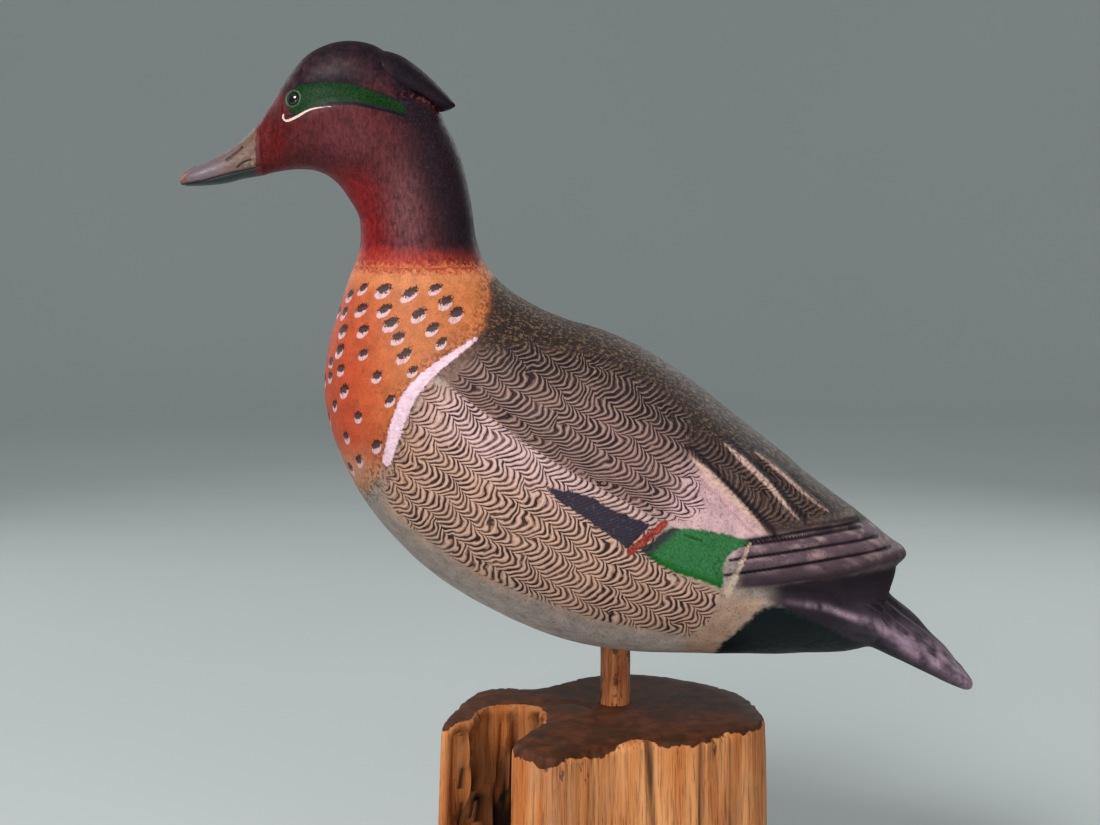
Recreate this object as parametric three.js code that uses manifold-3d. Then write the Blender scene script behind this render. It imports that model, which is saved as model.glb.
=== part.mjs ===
// A carved and painted wooden teal on a round stick, standing in a weathered post.
//
// The bird is made the way a hollow decoy is: two body halves glued on a sloping seam and
// pinned, a separate head and neck screwed on from inside, a hardwood bill let into the face,
// and glass eyes bedded in putty. A hardwood block inside the lower half takes the stick.
//
// Units are millimetres. The bird faces -Y, its left side is +X, and +Z is up. The origin is
// on the stick's axis at the underside of the post.

import * as THREE from "three";
import { mergeVertices } from "three/addons/utils/BufferGeometryUtils.js";
import Module from "manifold-3d";

const wasm = await Module();
wasm.setup();

// ---------------------------------------------------------------------------------------
// Driving dimensions

const POST_HEIGHT = 100;
const GAP = 0.3; // between pieces that touch
const STICK_RADIUS = 6.35; // a half-inch dowel
const HOLE_RADIUS = 6.6; // for the stick, in the post and in the bird
const STICK_IN_POST = 45;
const STICK_TOP = POST_HEIGHT + 57;

const WALL = 12; // thickness of the hollow body
const SEAM_TILT = THREE.MathUtils.degToRad(25);
const SEAM_POINT = [118.4, POST_HEIGHT + 50.5]; // [y, z], where the wing tips meet the tail
const NECK_SEAM = POST_HEIGHT + 183;

const BLOCK = { width: 34, length: 46, low: 35, high: 61 }; // low and high above the post
const BLOCK_SCREW = {
  radius: 1.8, head: 3.4, length: 26, tip: 3, spread: 15, headHeight: 2, proud: 0.1,
};
const BODY_PIN = { radius: 2, length: 15, inset: 8.5 };
const BODY_PIN_SPOTS = [-56, 44]; // y of the front and rear pairs
const NECK_PIN = { radius: 2.5, length: 24 };
const NECK_PIN_SPOTS = { front: -96, rear: -64 };
const NECK_SCREW = {
  y: -80, seat: POST_HEIGHT + 148, radius: 2.1, length: 58, tip: 5, head: 4.2, headHeight: 2.6,
};
const WASHER = { radius: 8, thickness: 1.2 };
const SEAT_RADIUS = 9.5; // flat seat bored for the washer
const SEAT_MOUTH = POST_HEIGHT + 118; // where that boring opens into the hollow

const EYE = { y: -129.2, z: POST_HEIGHT + 249.4, radius: 3, bulge: 1.7, deep: 2, sunk: 0.4 };
const SOCKET = { radius: 3.9, depth: 5.5, puttySunk: 0.6 };
const TENON = { radius: 3.2, length: 13, root: 3 };

// Each station of the bird is a flat section across it, from a point low on the outline to a
// point high on it: [high y, high z, low y, low z, half width, belt, crown, keel]. Heights are
// above the post. Belt is how far up the section is widest, from 0 to 1. Crown and keel shape
// the section above and below the belt: 1 is an ellipse, more is sharper, less is squarer.
const BODY_STATIONS = [
  [149, 13.2, 147, 9.2, 7, 0.5, 1, 1],
  [146.5, 19.2, 143.5, 8.4, 16.5, 0.45, 1.1, 0.9],
  [140.5, 27.3, 136, 10.7, 21, 0.42, 1.2, 0.9],
  [132, 35.8, 126, 15.4, 23, 0.4, 1.25, 0.9],
  [124, 43.5, 115, 20.8, 23.5, 0.38, 1.3, 0.9],
  [117.6, 48.6, 107, 24.6, 24, 0.4, 1.25, 0.9],
  [116.6, 51.6, 104, 25.6, 24.5, 0.42, 1.25, 0.9],
  [119, 56.6, 101, 25.3, 25, 0.45, 1.25, 0.9],
  [120.4, 61.2, 97, 24.1, 26.5, 0.48, 1.2, 0.9],
  [116.1, 67.6, 90, 23.1, 30, 0.5, 1.15, 0.9],
  [103, 78.4, 75, 23, 37, 0.5, 1.1, 0.92],
  [85, 92.2, 53, 23.1, 44, 0.5, 1.05, 0.92],
  [66, 107.7, 28, 23.6, 50, 0.48, 1.03, 0.94],
  [47, 122.7, 2, 24.6, 54, 0.47, 1, 0.95],
  [28, 137.6, -24, 29.8, 56, 0.46, 1, 0.95],
  [10, 149.1, -50, 40.6, 55, 0.46, 1, 0.95],
  [-5, 155.8, -74, 55.5, 52.5, 0.46, 1, 0.95],
  [-18, 159.8, -93, 73.4, 49, 0.46, 1, 0.95],
  [-28, 163.5, -105.5, 90.2, 45, 0.46, 1, 0.95],
  [-36, 167.5, -113.5, 107, 41, 0.46, 1, 0.95],
  [-42.7, 171.6, -118, 121.4, 36.5, 0.47, 1, 0.96],
  [-47.9, 176.2, -119.2, 136, 32, 0.48, 1, 0.97],
  [-51.8, 180.9, -117.3, 151, 27.5, 0.49, 1, 1],
  [-54.4, 185.2, -113, 165, 23.5, 0.5, 1, 1],
  [-56.2, 190, -108.5, 178, 20.5, 0.5, 1, 1],
  [-57.6, 196, -104.6, 189, 18.6, 0.5, 1, 1],
];
const HEAD_STATIONS = [
  [-58.5, 203.5, -104.2, 200, 17.8, 0.5, 1, 1],
  [-60, 212.5, -105.2, 204, 17.5, 0.5, 1, 1],
  [-62.3, 222.5, -107.2, 207.6, 17.3, 0.48, 1, 1],
  [-65.8, 232.5, -109.4, 211, 17.4, 0.47, 1, 1],
  [-71.2, 242.5, -111.7, 214.2, 17.6, 0.45, 1, 1],
  [-79.2, 253.3, -114, 216.6, 17.8, 0.44, 1, 1],
  [-87.2, 262.8, -116.6, 218.6, 17.8, 0.43, 1, 1],
  [-96.6, 270.4, -119.5, 220.1, 17.6, 0.42, 1, 1],
  [-107, 272.6, -123, 221.1, 17.3, 0.42, 1, 1],
  [-116.6, 271, -127, 221.4, 16.4, 0.42, 1, 1],
  [-125.5, 266.3, -131.5, 221.2, 14.6, 0.42, 1, 1],
  [-132.8, 257.6, -136, 220.6, 12, 0.42, 1, 1],
  [-138.5, 248.5, -140, 219.8, 9.6, 0.43, 1, 1],
  [-143.9, 240.4, -143, 218.9, 8.2, 0.45, 1, 1],
];
const BILL_STATIONS = [
  [-143.9, 240.4, -143, 218.9, 8.2, 0.45, 1, 1],
  [-149.9, 234.2, -150.5, 217.6, 7.6, 0.42, 1.05, 0.9],
  [-158.3, 228.1, -158.6, 215.7, 7.2, 0.4, 1.05, 0.85],
  [-166.5, 224, -166.7, 214.8, 7.3, 0.4, 0.95, 0.8],
  [-172.8, 220.9, -172.8, 214.7, 6.6, 0.42, 0.85, 0.8],
  [-176.2, 218, -176, 215.2, 3.6, 0.5, 0.9, 0.9],
];
// The crest overhangs the nape: [y, middle z, half height, half width].
const CREST_STATIONS = [
  [-97, 260, 9, 10],
  [-91, 259.6, 8.6, 9.8],
  [-85, 257.6, 8, 9],
  [-77.3, 252.7, 7, 7.4],
  [-71.3, 249.2, 4.8, 5.4],
  [-67.3, 247.6, 2.3, 3],
  [-65.3, 247, 0.6, 1],
];

// Outline of the post's top, seen from above: [x, y]. The notch between the second and third
// rows is the cleft that runs down its front.
const POST_OUTLINE = [
  [26, -58], [30, -70], [18, -70], [5, -67], [-19, -59], [-28, -46], [-26, -34],
  [-40, -18], [-49, -3], [-50, 13], [-42, 30], [-32, 42], [-16, 54], [5, 60],
  [27, 59], [40, 49], [52, 33], [57, 16], [60, 2], [66, -10], [76, -20], [79, -28],
  [72, -36], [58, -42], [44, -38], [30, -32], [16, -31], [5, -34], [3, -44], [10, -54],
];
const POST_FLARE = 1.05; // how much wider the foot is than the top

// ---------------------------------------------------------------------------------------
// Solids

function solidOf(geometry) {
  const plain = geometry.clone();
  plain.deleteAttribute("normal");
  plain.deleteAttribute("uv");
  const merged = mergeVertices(plain, 1e-4);
  return new wasm.Manifold(new wasm.Mesh({
    numProp: 3,
    vertProperties: new Float32Array(merged.attributes.position.array),
    triVerts: new Uint32Array(merged.index.array),
  }));
}

function geometryOf(solid) {
  const mesh = solid.getMesh();
  const geometry = new THREE.BufferGeometry();
  geometry.setAttribute("position", new THREE.BufferAttribute(mesh.vertProperties, 3));
  geometry.setIndex(new THREE.BufferAttribute(mesh.triVerts, 1));
  const faceted = geometry.toNonIndexed();
  faceted.computeVertexNormals();
  return faceted;
}

// A closed skin over rings of points, each ring with the same count.
function skin(rings) {
  const count = rings[0].length;
  const positions = [];
  const faces = [];
  for (const ring of rings) {
    for (const point of ring) {
      positions.push(point.x, point.y, point.z);
    }
  }
  for (let r = 0; r + 1 < rings.length; r += 1) {
    for (let i = 0; i < count; i += 1) {
      const a = r * count + i;
      const b = r * count + ((i + 1) % count);
      faces.push(a, b, b + count, a, b + count, a + count);
    }
  }
  for (const [r, flip] of [[0, true], [rings.length - 1, false]]) {
    const middle = new THREE.Vector3();
    for (const point of rings[r]) {
      middle.addScaledVector(point, 1 / count);
    }
    const hub = positions.length / 3;
    positions.push(middle.x, middle.y, middle.z);
    for (let i = 0; i < count; i += 1) {
      const a = r * count + i;
      const b = r * count + ((i + 1) % count);
      faces.push(hub, ...(flip ? [b, a] : [a, b]));
    }
  }
  const geometry = new THREE.BufferGeometry();
  geometry.setAttribute("position", new THREE.Float32BufferAttribute(positions, 3));
  geometry.setIndex(faces);
  return geometry;
}

// ---------------------------------------------------------------------------------------
// The carved shape

const power = (value, exponent) => Math.sign(value) * Math.abs(value) ** exponent;

// A smooth section between stations: t counts stations, with fractions between them.
function sectionAt(stations, t) {
  const last = stations.length - 1;
  const first = Math.min(Math.floor(t), last - 1);
  const u = t - first;
  const [a, b, c, d] = [-1, 0, 1, 2].map((step) => (
    stations[Math.min(Math.max(first + step, 0), last)]));
  return a.map((_, i) => {
    const slopeIn = (c[i] - a[i]) / 2;
    const slopeOut = (d[i] - b[i]) / 2;
    return (2 * b[i] - 2 * c[i] + slopeIn + slopeOut) * u ** 3
      + (3 * c[i] - 3 * b[i] - 2 * slopeIn - slopeOut) * u ** 2
      + slopeIn * u + b[i];
  });
}

// A point on a section, at an angle from its low point (0) round its left to its high point.
function pointOn(section, angle) {
  const [highY, highZ, lowY, lowZ, half, belt, crown, keel] = section;
  const cosine = Math.cos(angle);
  const shape = cosine > 0 ? keel : crown;
  const reach = cosine > 0 ? belt : 1 - belt;
  const up = belt - reach * power(cosine, shape);
  return new THREE.Vector3(
    half * power(Math.sin(angle), shape),
    lowY + (highY - lowY) * up,
    POST_HEIGHT + lowZ + (highZ - lowZ) * up,
  );
}

function loft(stations, perStation, around) {
  const rings = [];
  const count = (stations.length - 1) * perStation;
  for (let r = 0; r <= count; r += 1) {
    const section = sectionAt(stations, r / perStation);
    const ring = [];
    for (let i = 0; i < around; i += 1) {
      ring.push(pointOn(section, (2 * Math.PI * i) / around));
    }
    rings.push(ring);
  }
  return solidOf(skin(rings));
}

// The left side's surface point and outward normal, for a place [y, z] seen from the side.
function surfaceAt(stations, y, z) {
  const aside = (t) => {
    const [highY, highZ, lowY, lowZ] = sectionAt(stations, t);
    return (highY - lowY) * (z - POST_HEIGHT - lowZ) - (highZ - lowZ) * (y - lowY);
  };
  let from = 0;
  let to = stations.length - 1;
  const sign = Math.sign(aside(from));
  while (to - from > 1e-4) {
    const middle = (from + to) / 2;
    if (Math.sign(aside(middle)) === sign) {
      from = middle;
    } else {
      to = middle;
    }
  }
  let low = 0;
  let high = Math.PI;
  const section = sectionAt(stations, from);
  while (high - low > 1e-4) {
    const middle = (low + high) / 2;
    if (pointOn(section, middle).z < z) {
      low = middle;
    } else {
      high = middle;
    }
  }
  const point = pointOn(section, low);
  const along = pointOn(sectionAt(stations, from + 0.05), low).sub(point);
  const round = pointOn(section, low + 0.02).sub(point);
  const normal = new THREE.Vector3().crossVectors(round, along).normalize();
  return { point, normal: normal.x < 0 ? normal.negate() : normal };
}

function thinner(station) {
  const [highY, highZ, lowY, lowZ, half, ...shape] = station;
  const depth = Math.hypot(highY - lowY, highZ - lowZ);
  const stepY = ((highY - lowY) / depth) * WALL;
  const stepZ = ((highZ - lowZ) / depth) * WALL;
  return [highY - stepY, highZ - stepZ, lowY + stepY, lowZ + stepZ, half - WALL, ...shape];
}

function place(geometry, position, axis = new THREE.Vector3(0, 0, 1)) {
  const turn = new THREE.Quaternion().setFromUnitVectors(new THREE.Vector3(0, 1, 0), axis);
  return geometry.clone().applyQuaternion(turn).translate(position.x, position.y, position.z);
}

// A round bar from one point to another.
function bar(from, to, radius, sides = 20) {
  const axis = new THREE.Vector3().subVectors(to, from);
  const middle = new THREE.Vector3().addVectors(from, to).multiplyScalar(0.5);
  const cylinder = new THREE.CylinderGeometry(radius, radius, axis.length(), sides);
  return place(cylinder, middle, axis.normalize());
}

// A turned solid: profile rows are [radius, height], and height runs along the axis.
function turned(profile, position, axis, sides = 24) {
  const points = profile.map(([radius, height]) => new THREE.Vector2(radius, height));
  return place(new THREE.LatheGeometry(points, sides), position, axis);
}

const upright = (y, z, x = 0) => new THREE.Vector3(x, y, z);

// Everything above (side 1) or below (side -1) the sloping seam, less half the gap.
const HALF_SPACE = 700;
const seamNormal = new THREE.Vector3(0, Math.sin(SEAM_TILT), Math.cos(SEAM_TILT));

function besideSeam(side) {
  const away = side * (HALF_SPACE / 2 + GAP / 2);
  const middle = upright(...SEAM_POINT).addScaledVector(seamNormal, away);
  return solidOf(place(new THREE.BoxGeometry(HALF_SPACE, HALF_SPACE, HALF_SPACE), middle,
    seamNormal));
}

function besideNeck(side) {
  const box = new THREE.BoxGeometry(HALF_SPACE, HALF_SPACE, HALF_SPACE);
  return solidOf(box.translate(0, 0, NECK_SEAM + side * (HALF_SPACE / 2 + GAP / 2)));
}

// ---------------------------------------------------------------------------------------
// Pieces

const WOOD = { roughness: 0.6, metalness: 0 };
const STEEL = { roughness: 0.35, metalness: 1 };
const GLASS = { roughness: 0.05, metalness: 0 };
const group = new THREE.Group();

function add(name, geometry, color, finish = WOOD) {
  const material = new THREE.MeshStandardMaterial({ color, ...finish });
  const mesh = new THREE.Mesh(geometry, material);
  mesh.name = name;
  group.add(mesh);
}

const BIRD_STATIONS = [...BODY_STATIONS, ...HEAD_STATIONS];
const neckScrewHead = upright(NECK_SCREW.y, NECK_SCREW.seat - WASHER.thickness - 2 * GAP);

function crest() {
  const around = 20;
  const rings = CREST_STATIONS.map(([y, z, high, half]) => {
    const ring = [];
    for (let i = 0; i < around; i += 1) {
      const angle = (2 * Math.PI * i) / around;
      ring.push(upright(y, POST_HEIGHT + z - high * Math.cos(angle), half * Math.sin(angle)));
    }
    return ring;
  });
  return solidOf(skin(rings.reverse()));
}

// Where the body pins cross the seam, inside the wall.
function bodyPinPlace(y, side) {
  const z = SEAM_POINT[1] - (y - SEAM_POINT[0]) * Math.tan(SEAM_TILT);
  const { point } = surfaceAt(BIRD_STATIONS, y, z);
  return upright(y, z, side * (point.x - BODY_PIN.inset));
}

function bodyPin(y, side, extra = 0) {
  const reach = BODY_PIN.length / 2 + extra;
  const middle = bodyPinPlace(y, side);
  const from = middle.clone().addScaledVector(seamNormal, -reach);
  const to = middle.clone().addScaledVector(seamNormal, reach);
  return bar(from, to, BODY_PIN.radius + extra, 12);
}

function neckPin(y, extra = 0) {
  const reach = NECK_PIN.length / 2 + extra;
  return bar(upright(y, NECK_SEAM - reach), upright(y, NECK_SEAM + reach),
    NECK_PIN.radius + extra, 12);
}

function neckScrew(extra = 0) {
  const { radius, length, tip, head, headHeight } = NECK_SCREW;
  return turned([
    [0, -headHeight - extra],
    [head + extra, -headHeight - extra],
    [head + extra, extra],
    [radius + extra, extra],
    [radius + extra, length - tip],
    [0, length + extra],
  ], neckScrewHead, new THREE.Vector3(0, 0, 1), 16);
}

function neckWasher() {
  const inner = NECK_SCREW.radius + GAP;
  const low = GAP;
  const high = GAP + WASHER.thickness;
  return turned([
    [inner, low], [WASHER.radius, low], [WASHER.radius, high], [inner, high], [inner, low],
  ], neckScrewHead, new THREE.Vector3(0, 0, 1));
}

function blockBox(extra = 0) {
  const { width, length, low, high } = BLOCK;
  const box = new THREE.BoxGeometry(width + 2 * extra, length + 2 * extra, high - low + extra);
  return box.translate(0, 0, POST_HEIGHT + (low + high) / 2 + GAP - extra / 2);
}

function blockScrew(end, extra = 0) {
  const { radius, head, length, tip, spread, headHeight, proud } = BLOCK_SCREW;
  const top = upright(end * spread, POST_HEIGHT + BLOCK.high + GAP + proud);
  return turned([
    [0, -headHeight - extra],
    [head + extra, -headHeight - extra],
    [head + extra, extra ? 0 : -GAP],
    [radius + extra, extra ? 0 : -GAP],
    [radius + extra, length],
    [0, length + tip + extra],
  ].map(([r, h]) => [r, h + headHeight]), top, new THREE.Vector3(0, 0, -1), 14);
}

function tenon(extra = 0) {
  const { point, normal } = billBase();
  const tip = point.clone().addScaledVector(normal, TENON.length + extra);
  return bar(point.clone().addScaledVector(normal, -TENON.root), tip, TENON.radius + extra);
}

// The middle of the bill's base and the direction into the head.
function billBase() {
  const [highY, highZ, lowY, lowZ] = BILL_STATIONS[0];
  const point = upright((highY + lowY) / 2, POST_HEIGHT + (highZ + lowZ) / 2);
  const rise = new THREE.Vector3(0, highY - lowY, highZ - lowZ).normalize();
  return { point, normal: new THREE.Vector3(0, rise.z, -rise.y) };
}

// A block in front of the head that leaves the gap behind the bill's base.
function billSeat() {
  const { point, normal } = billBase();
  const size = 60;
  const middle = point.clone().addScaledVector(normal, GAP - size / 2);
  return solidOf(place(new THREE.BoxGeometry(size, size, size), middle, normal));
}

function eyeFrame(side) {
  const { point, normal } = surfaceAt(BIRD_STATIONS, EYE.y, EYE.z);
  const mirror = new THREE.Vector3(side, 1, 1);
  return { point: point.clone().multiply(mirror), normal: normal.clone().multiply(mirror) };
}

function eyeSocket(side) {
  const { point, normal } = eyeFrame(side);
  const from = point.clone().addScaledVector(normal, -SOCKET.depth);
  return bar(from, point.clone().addScaledVector(normal, 4), SOCKET.radius, 20);
}

// A dome of glass with a flat back.
function eye(side) {
  const { point, normal } = eyeFrame(side);
  const profile = [[0, -EYE.deep], [EYE.radius, -EYE.deep], [EYE.radius, 0]];
  for (let i = 1; i <= 5; i += 1) {
    const angle = (Math.PI / 2) * (i / 5);
    profile.push([i === 5 ? 0 : EYE.radius * Math.cos(angle), EYE.bulge * Math.sin(angle)]);
  }
  return turned(profile, point.clone().addScaledVector(normal, -EYE.sunk), normal, 20);
}

// A cup of putty round the back and the edge of the glass.
function eyePutty(side) {
  const { point, normal } = eyeFrame(side);
  const outer = SOCKET.radius - GAP;
  const inner = EYE.radius + GAP;
  const floor = -EYE.sunk - EYE.deep - GAP;
  const lip = -SOCKET.puttySunk;
  return turned([
    [0, -SOCKET.depth + GAP],
    [outer, -SOCKET.depth + GAP],
    [outer, lip],
    [inner, lip],
    [inner, floor],
    [0, floor],
  ], point, normal, 20);
}

function stick(extra = 0) {
  const radius = extra ? HOLE_RADIUS : STICK_RADIUS;
  const low = upright(0, POST_HEIGHT - STICK_IN_POST - extra);
  return bar(low, upright(0, STICK_TOP + extra), radius, 28);
}

function post() {
  const shape = new THREE.Shape(POST_OUTLINE.map(([x, y]) => new THREE.Vector2(x, y)));
  const prism = new THREE.ExtrudeGeometry(shape, { depth: POST_HEIGHT, bevelEnabled: false });
  const corners = prism.attributes.position;
  for (let i = 0; i < corners.count; i += 1) {
    const scale = 1 + (POST_FLARE - 1) * (1 - corners.getZ(i) / POST_HEIGHT);
    corners.setXY(i, corners.getX(i) * scale, corners.getY(i) * scale);
  }
  return solidOf(prism);
}

// ---------------------------------------------------------------------------------------
// Assembly

const carved = loft(BIRD_STATIONS, 2, 32).add(crest());
const hollow = loft(BODY_STATIONS.slice(10, 20).map(thinner), 1, 20);
const stickHole = solidOf(stick(GAP));
const bill = loft(BILL_STATIONS, 3, 24).add(solidOf(tenon()));

let bodyUpper = carved.intersect(besideNeck(-1)).intersect(besideSeam(1)).subtract(hollow);
let bodyLower = carved.intersect(besideNeck(-1)).intersect(besideSeam(-1)).subtract(hollow);
for (const y of BODY_PIN_SPOTS) {
  for (const side of [1, -1]) {
    const hole = solidOf(bodyPin(y, side, GAP));
    bodyUpper = bodyUpper.subtract(hole);
    bodyLower = bodyLower.subtract(hole);
  }
}
let head = carved.intersect(besideNeck(1));
for (const y of Object.values(NECK_PIN_SPOTS)) {
  const hole = solidOf(neckPin(y, GAP));
  bodyUpper = bodyUpper.subtract(hole);
  head = head.subtract(hole);
}
const screwHole = solidOf(neckScrew(GAP));
const washerSeat = solidOf(bar(upright(NECK_SCREW.y, SEAT_MOUTH),
  upright(NECK_SCREW.y, NECK_SCREW.seat), SEAT_RADIUS));
bodyUpper = bodyUpper.subtract(screwHole).subtract(washerSeat);
bodyLower = bodyLower.subtract(washerSeat);
head = head.subtract(screwHole).subtract(solidOf(tenon(GAP))).subtract(billSeat());
for (const side of [1, -1]) {
  head = head.subtract(solidOf(eyeSocket(side)));
}
bodyLower = bodyLower.subtract(solidOf(blockBox(GAP))).subtract(stickHole);

let block = solidOf(blockBox()).subtract(stickHole);
for (const end of [1, -1]) {
  const hole = solidOf(blockScrew(end, GAP));
  block = block.subtract(hole);
  bodyLower = bodyLower.subtract(hole);
}

add("body_upper", geometryOf(bodyUpper), 0x6a5443);
add("body_lower", geometryOf(bodyLower), 0x9b7f63);
add("head", geometryOf(head), 0x4a1a1a);
add("bill", geometryOf(bill), 0x5a4a4c);
for (const [name, side] of [["left", 1], ["right", -1]]) {
  add(`eye_${name}`, eye(side), 0x050505, GLASS);
  add(`eye_putty_${name}`, eyePutty(side), 0x2f6b35);
}
add("neck_screw", neckScrew(), 0xb9bcc0, STEEL);
add("neck_washer", neckWasher(), 0xb9bcc0, STEEL);
for (const [name, y] of Object.entries(NECK_PIN_SPOTS)) {
  add(`neck_pin_${name}`, neckPin(y), 0xc79a62);
}
BODY_PIN_SPOTS.forEach((y, row) => {
  const end = row === 0 ? "front" : "rear";
  add(`body_pin_${end}_left`, bodyPin(y, 1), 0xc79a62);
  add(`body_pin_${end}_right`, bodyPin(y, -1), 0xc79a62);
});
add("stick_block", geometryOf(block), 0xb08a5a);
add("stick_block_screw_front", blockScrew(-1), 0xb9bcc0, STEEL);
add("stick_block_screw_rear", blockScrew(1), 0xb9bcc0, STEEL);
add("stand_stick", stick(), 0x8a4f25);
add("post", geometryOf(post().subtract(stickHole)), 0x9c6a38);

export default group;
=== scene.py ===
"""A carved and painted wooden teal on a stick in a weathered post.

The bird's skin is one smooth carved surface, cut into the CAD model's pieces. Its relief is
vertex displacement, and its paint is procedural: each vertex stores how far it lies from the
edges of the painted marks, and the material turns those distances into brushed edges.
"""
import math
import bmesh
import bpy
import numpy as np
from mathutils import Matrix, Vector
from mathutils.geometry import delaunay_2d_cdt


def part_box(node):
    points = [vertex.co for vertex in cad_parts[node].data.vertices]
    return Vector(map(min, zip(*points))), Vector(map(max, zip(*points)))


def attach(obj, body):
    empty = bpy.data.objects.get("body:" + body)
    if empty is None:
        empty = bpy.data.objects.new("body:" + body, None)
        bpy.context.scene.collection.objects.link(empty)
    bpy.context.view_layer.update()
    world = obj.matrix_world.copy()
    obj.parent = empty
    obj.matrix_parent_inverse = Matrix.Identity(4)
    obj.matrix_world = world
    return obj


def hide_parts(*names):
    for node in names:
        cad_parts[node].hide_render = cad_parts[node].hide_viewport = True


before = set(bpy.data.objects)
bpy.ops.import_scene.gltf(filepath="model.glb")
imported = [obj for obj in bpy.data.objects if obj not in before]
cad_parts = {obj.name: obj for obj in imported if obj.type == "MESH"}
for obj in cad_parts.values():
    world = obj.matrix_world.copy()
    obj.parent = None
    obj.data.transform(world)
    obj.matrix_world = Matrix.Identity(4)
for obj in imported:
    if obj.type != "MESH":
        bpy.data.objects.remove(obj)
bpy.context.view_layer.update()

MM = 0.001
POST_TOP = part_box("post")[1][2] / MM     # the bird's heights are measured from here
STICK_RADIUS = (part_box("stand_stick")[1][0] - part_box("stand_stick")[0][0]) / 2 / MM
STICK_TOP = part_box("stand_stick")[1][2] / MM - POST_TOP
HOLE_RADIUS = 6.6
PLAY = 0.3                               # room round what is let in
BODY_PIN_BORE = (7.8, 2.3)               # reach each way from its middle, and radius
NECK_PIN_BORE = (12.3, 2.8)
BLOCK_SCREW_BORE = (60, 2.1)             # top and radius
NECK_SCREW_BORE = 2.4
WASHER_SEAT = (118, 9.5)                 # where its bore starts, and radius
TENON = (13, 3.2)                        # the bill's: length and radius
SOCKET_DEPTH = 5.5
SEAM_TILT = math.radians(25)
SEAM_POINT = (118.4, 50.5)               # y and height where the body seam meets the tail
NECK_SEAM = 183
WALL = 12
HAIRLINE = 0.04                          # the glued seams' width
EYE_AT = (-129.2, 249.4)                 # y and height
EYE_RADIUS = 2.5
EYE_BULGE = 1.3
SOCKET_RADIUS = 3.9
BILL_GAP = 0.05
STICK_FOOT = -45.0
POST_FLARE = 1.05                        # how much wider the post is at its foot
CHIP = (62, 7)                           # where the post's paint broke away with its rim
COMB_PITCH = 2.55                        # between combed lines
COMB_ROW = 8.8                           # how tall a row of waves is
COMB_SWING = 3.6                         # and how far its arcs bow out
COMB_LENGTH = 206.0                      # of the line that the combing follows
FAR = 60.0                               # further than this from a line isn't measured
BREAST_FRONT = -80                       # the breast is ahead of this y
NECK_AXIS = -60                          # and rounds about an upright line at this y
CAMERA_AT = (0.8938, -0.0272, 0.3478)
CAMERA_DIP = 8                           # degrees below level, looking along -X
LENS = 72
SENSOR = 36

# ------------------------------------------------------------------------------------
# The carved shape: the same stations as the CAD model
# [high y, high z, low y, low z, half width, belt, crown, keel], in mm above the post

BODY_STATIONS = np.array([
    [149, 13.2, 147, 9.2, 7, 0.5, 1, 1],
    [146.5, 19.2, 143.5, 8.4, 16.5, 0.45, 1.1, 0.9],
    [140.5, 27.3, 136, 10.7, 21, 0.42, 1.2, 0.9],
    [132, 35.8, 126, 15.4, 23, 0.4, 1.25, 0.9],
    [124, 43.5, 115, 20.8, 23.5, 0.38, 1.3, 0.9],
    [117.6, 48.6, 107, 24.6, 24, 0.4, 1.25, 0.9],
    [116.6, 51.6, 104, 25.6, 24.5, 0.42, 1.25, 0.9],
    [119, 56.6, 101, 25.3, 25, 0.45, 1.25, 0.9],
    [120.4, 61.2, 97, 24.1, 26.5, 0.48, 1.2, 0.9],
    [116.1, 67.6, 90, 23.1, 30, 0.5, 1.15, 0.9],
    [103, 78.4, 75, 23, 37, 0.5, 1.1, 0.92],
    [85, 92.2, 53, 23.1, 44, 0.5, 1.05, 0.92],
    [66, 107.7, 28, 23.6, 50, 0.48, 1.03, 0.94],
    [47, 122.7, 2, 24.6, 54, 0.47, 1, 0.95],
    [28, 137.6, -24, 29.8, 56, 0.46, 1, 0.95],
    [10, 149.1, -50, 40.6, 55, 0.46, 1, 0.95],
    [-5, 155.8, -74, 55.5, 52.5, 0.46, 1, 0.95],
    [-18, 159.8, -93, 73.4, 49, 0.46, 1, 0.95],
    [-28, 163.5, -105.5, 90.2, 45, 0.46, 1, 0.95],
    [-36, 167.5, -113.5, 107, 41, 0.46, 1, 0.95],
    [-42.7, 171.6, -118, 121.4, 36.5, 0.47, 1, 0.96],
    [-47.9, 176.2, -119.2, 136, 32, 0.48, 1, 0.97],
    [-51.8, 180.9, -117.3, 151, 27.5, 0.49, 1, 1],
    [-54.4, 185.2, -113, 165, 23.5, 0.5, 1, 1],
    [-56.2, 190, -108.5, 178, 20.5, 0.5, 1, 1],
    [-57.6, 196, -104.6, 189, 18.6, 0.5, 1, 1],
])
HEAD_STATIONS = np.array([
    [-58.5, 203.5, -104.2, 200, 17.8, 0.5, 1, 1],
    [-60, 212.5, -105.2, 204, 17.5, 0.5, 1, 1],
    [-62.3, 222.5, -107.2, 207.6, 17.3, 0.48, 1, 1],
    [-65.8, 232.5, -109.4, 211, 17.4, 0.47, 1, 1],
    [-71.2, 242.5, -111.7, 214.2, 17.6, 0.45, 1, 1],
    [-79.2, 253.3, -114, 216.6, 17.8, 0.44, 1, 1],
    [-87.2, 262.8, -116.6, 218.6, 17.8, 0.43, 1, 1],
    [-96.6, 270.4, -119.5, 220.1, 17.6, 0.42, 1, 1],
    [-107, 272.6, -123, 221.1, 17.3, 0.42, 1, 1],
    [-116.6, 271, -127, 221.4, 16.4, 0.42, 1, 1],
    [-125.5, 266.3, -131.5, 221.2, 14.6, 0.42, 1, 1],
    [-132.8, 257.6, -136, 220.6, 12, 0.42, 1, 1],
    [-138.5, 248.5, -140, 219.8, 9.6, 0.43, 1, 1],
    [-143.9, 240.4, -143, 218.9, 8.2, 0.45, 1, 1],
])
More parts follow.
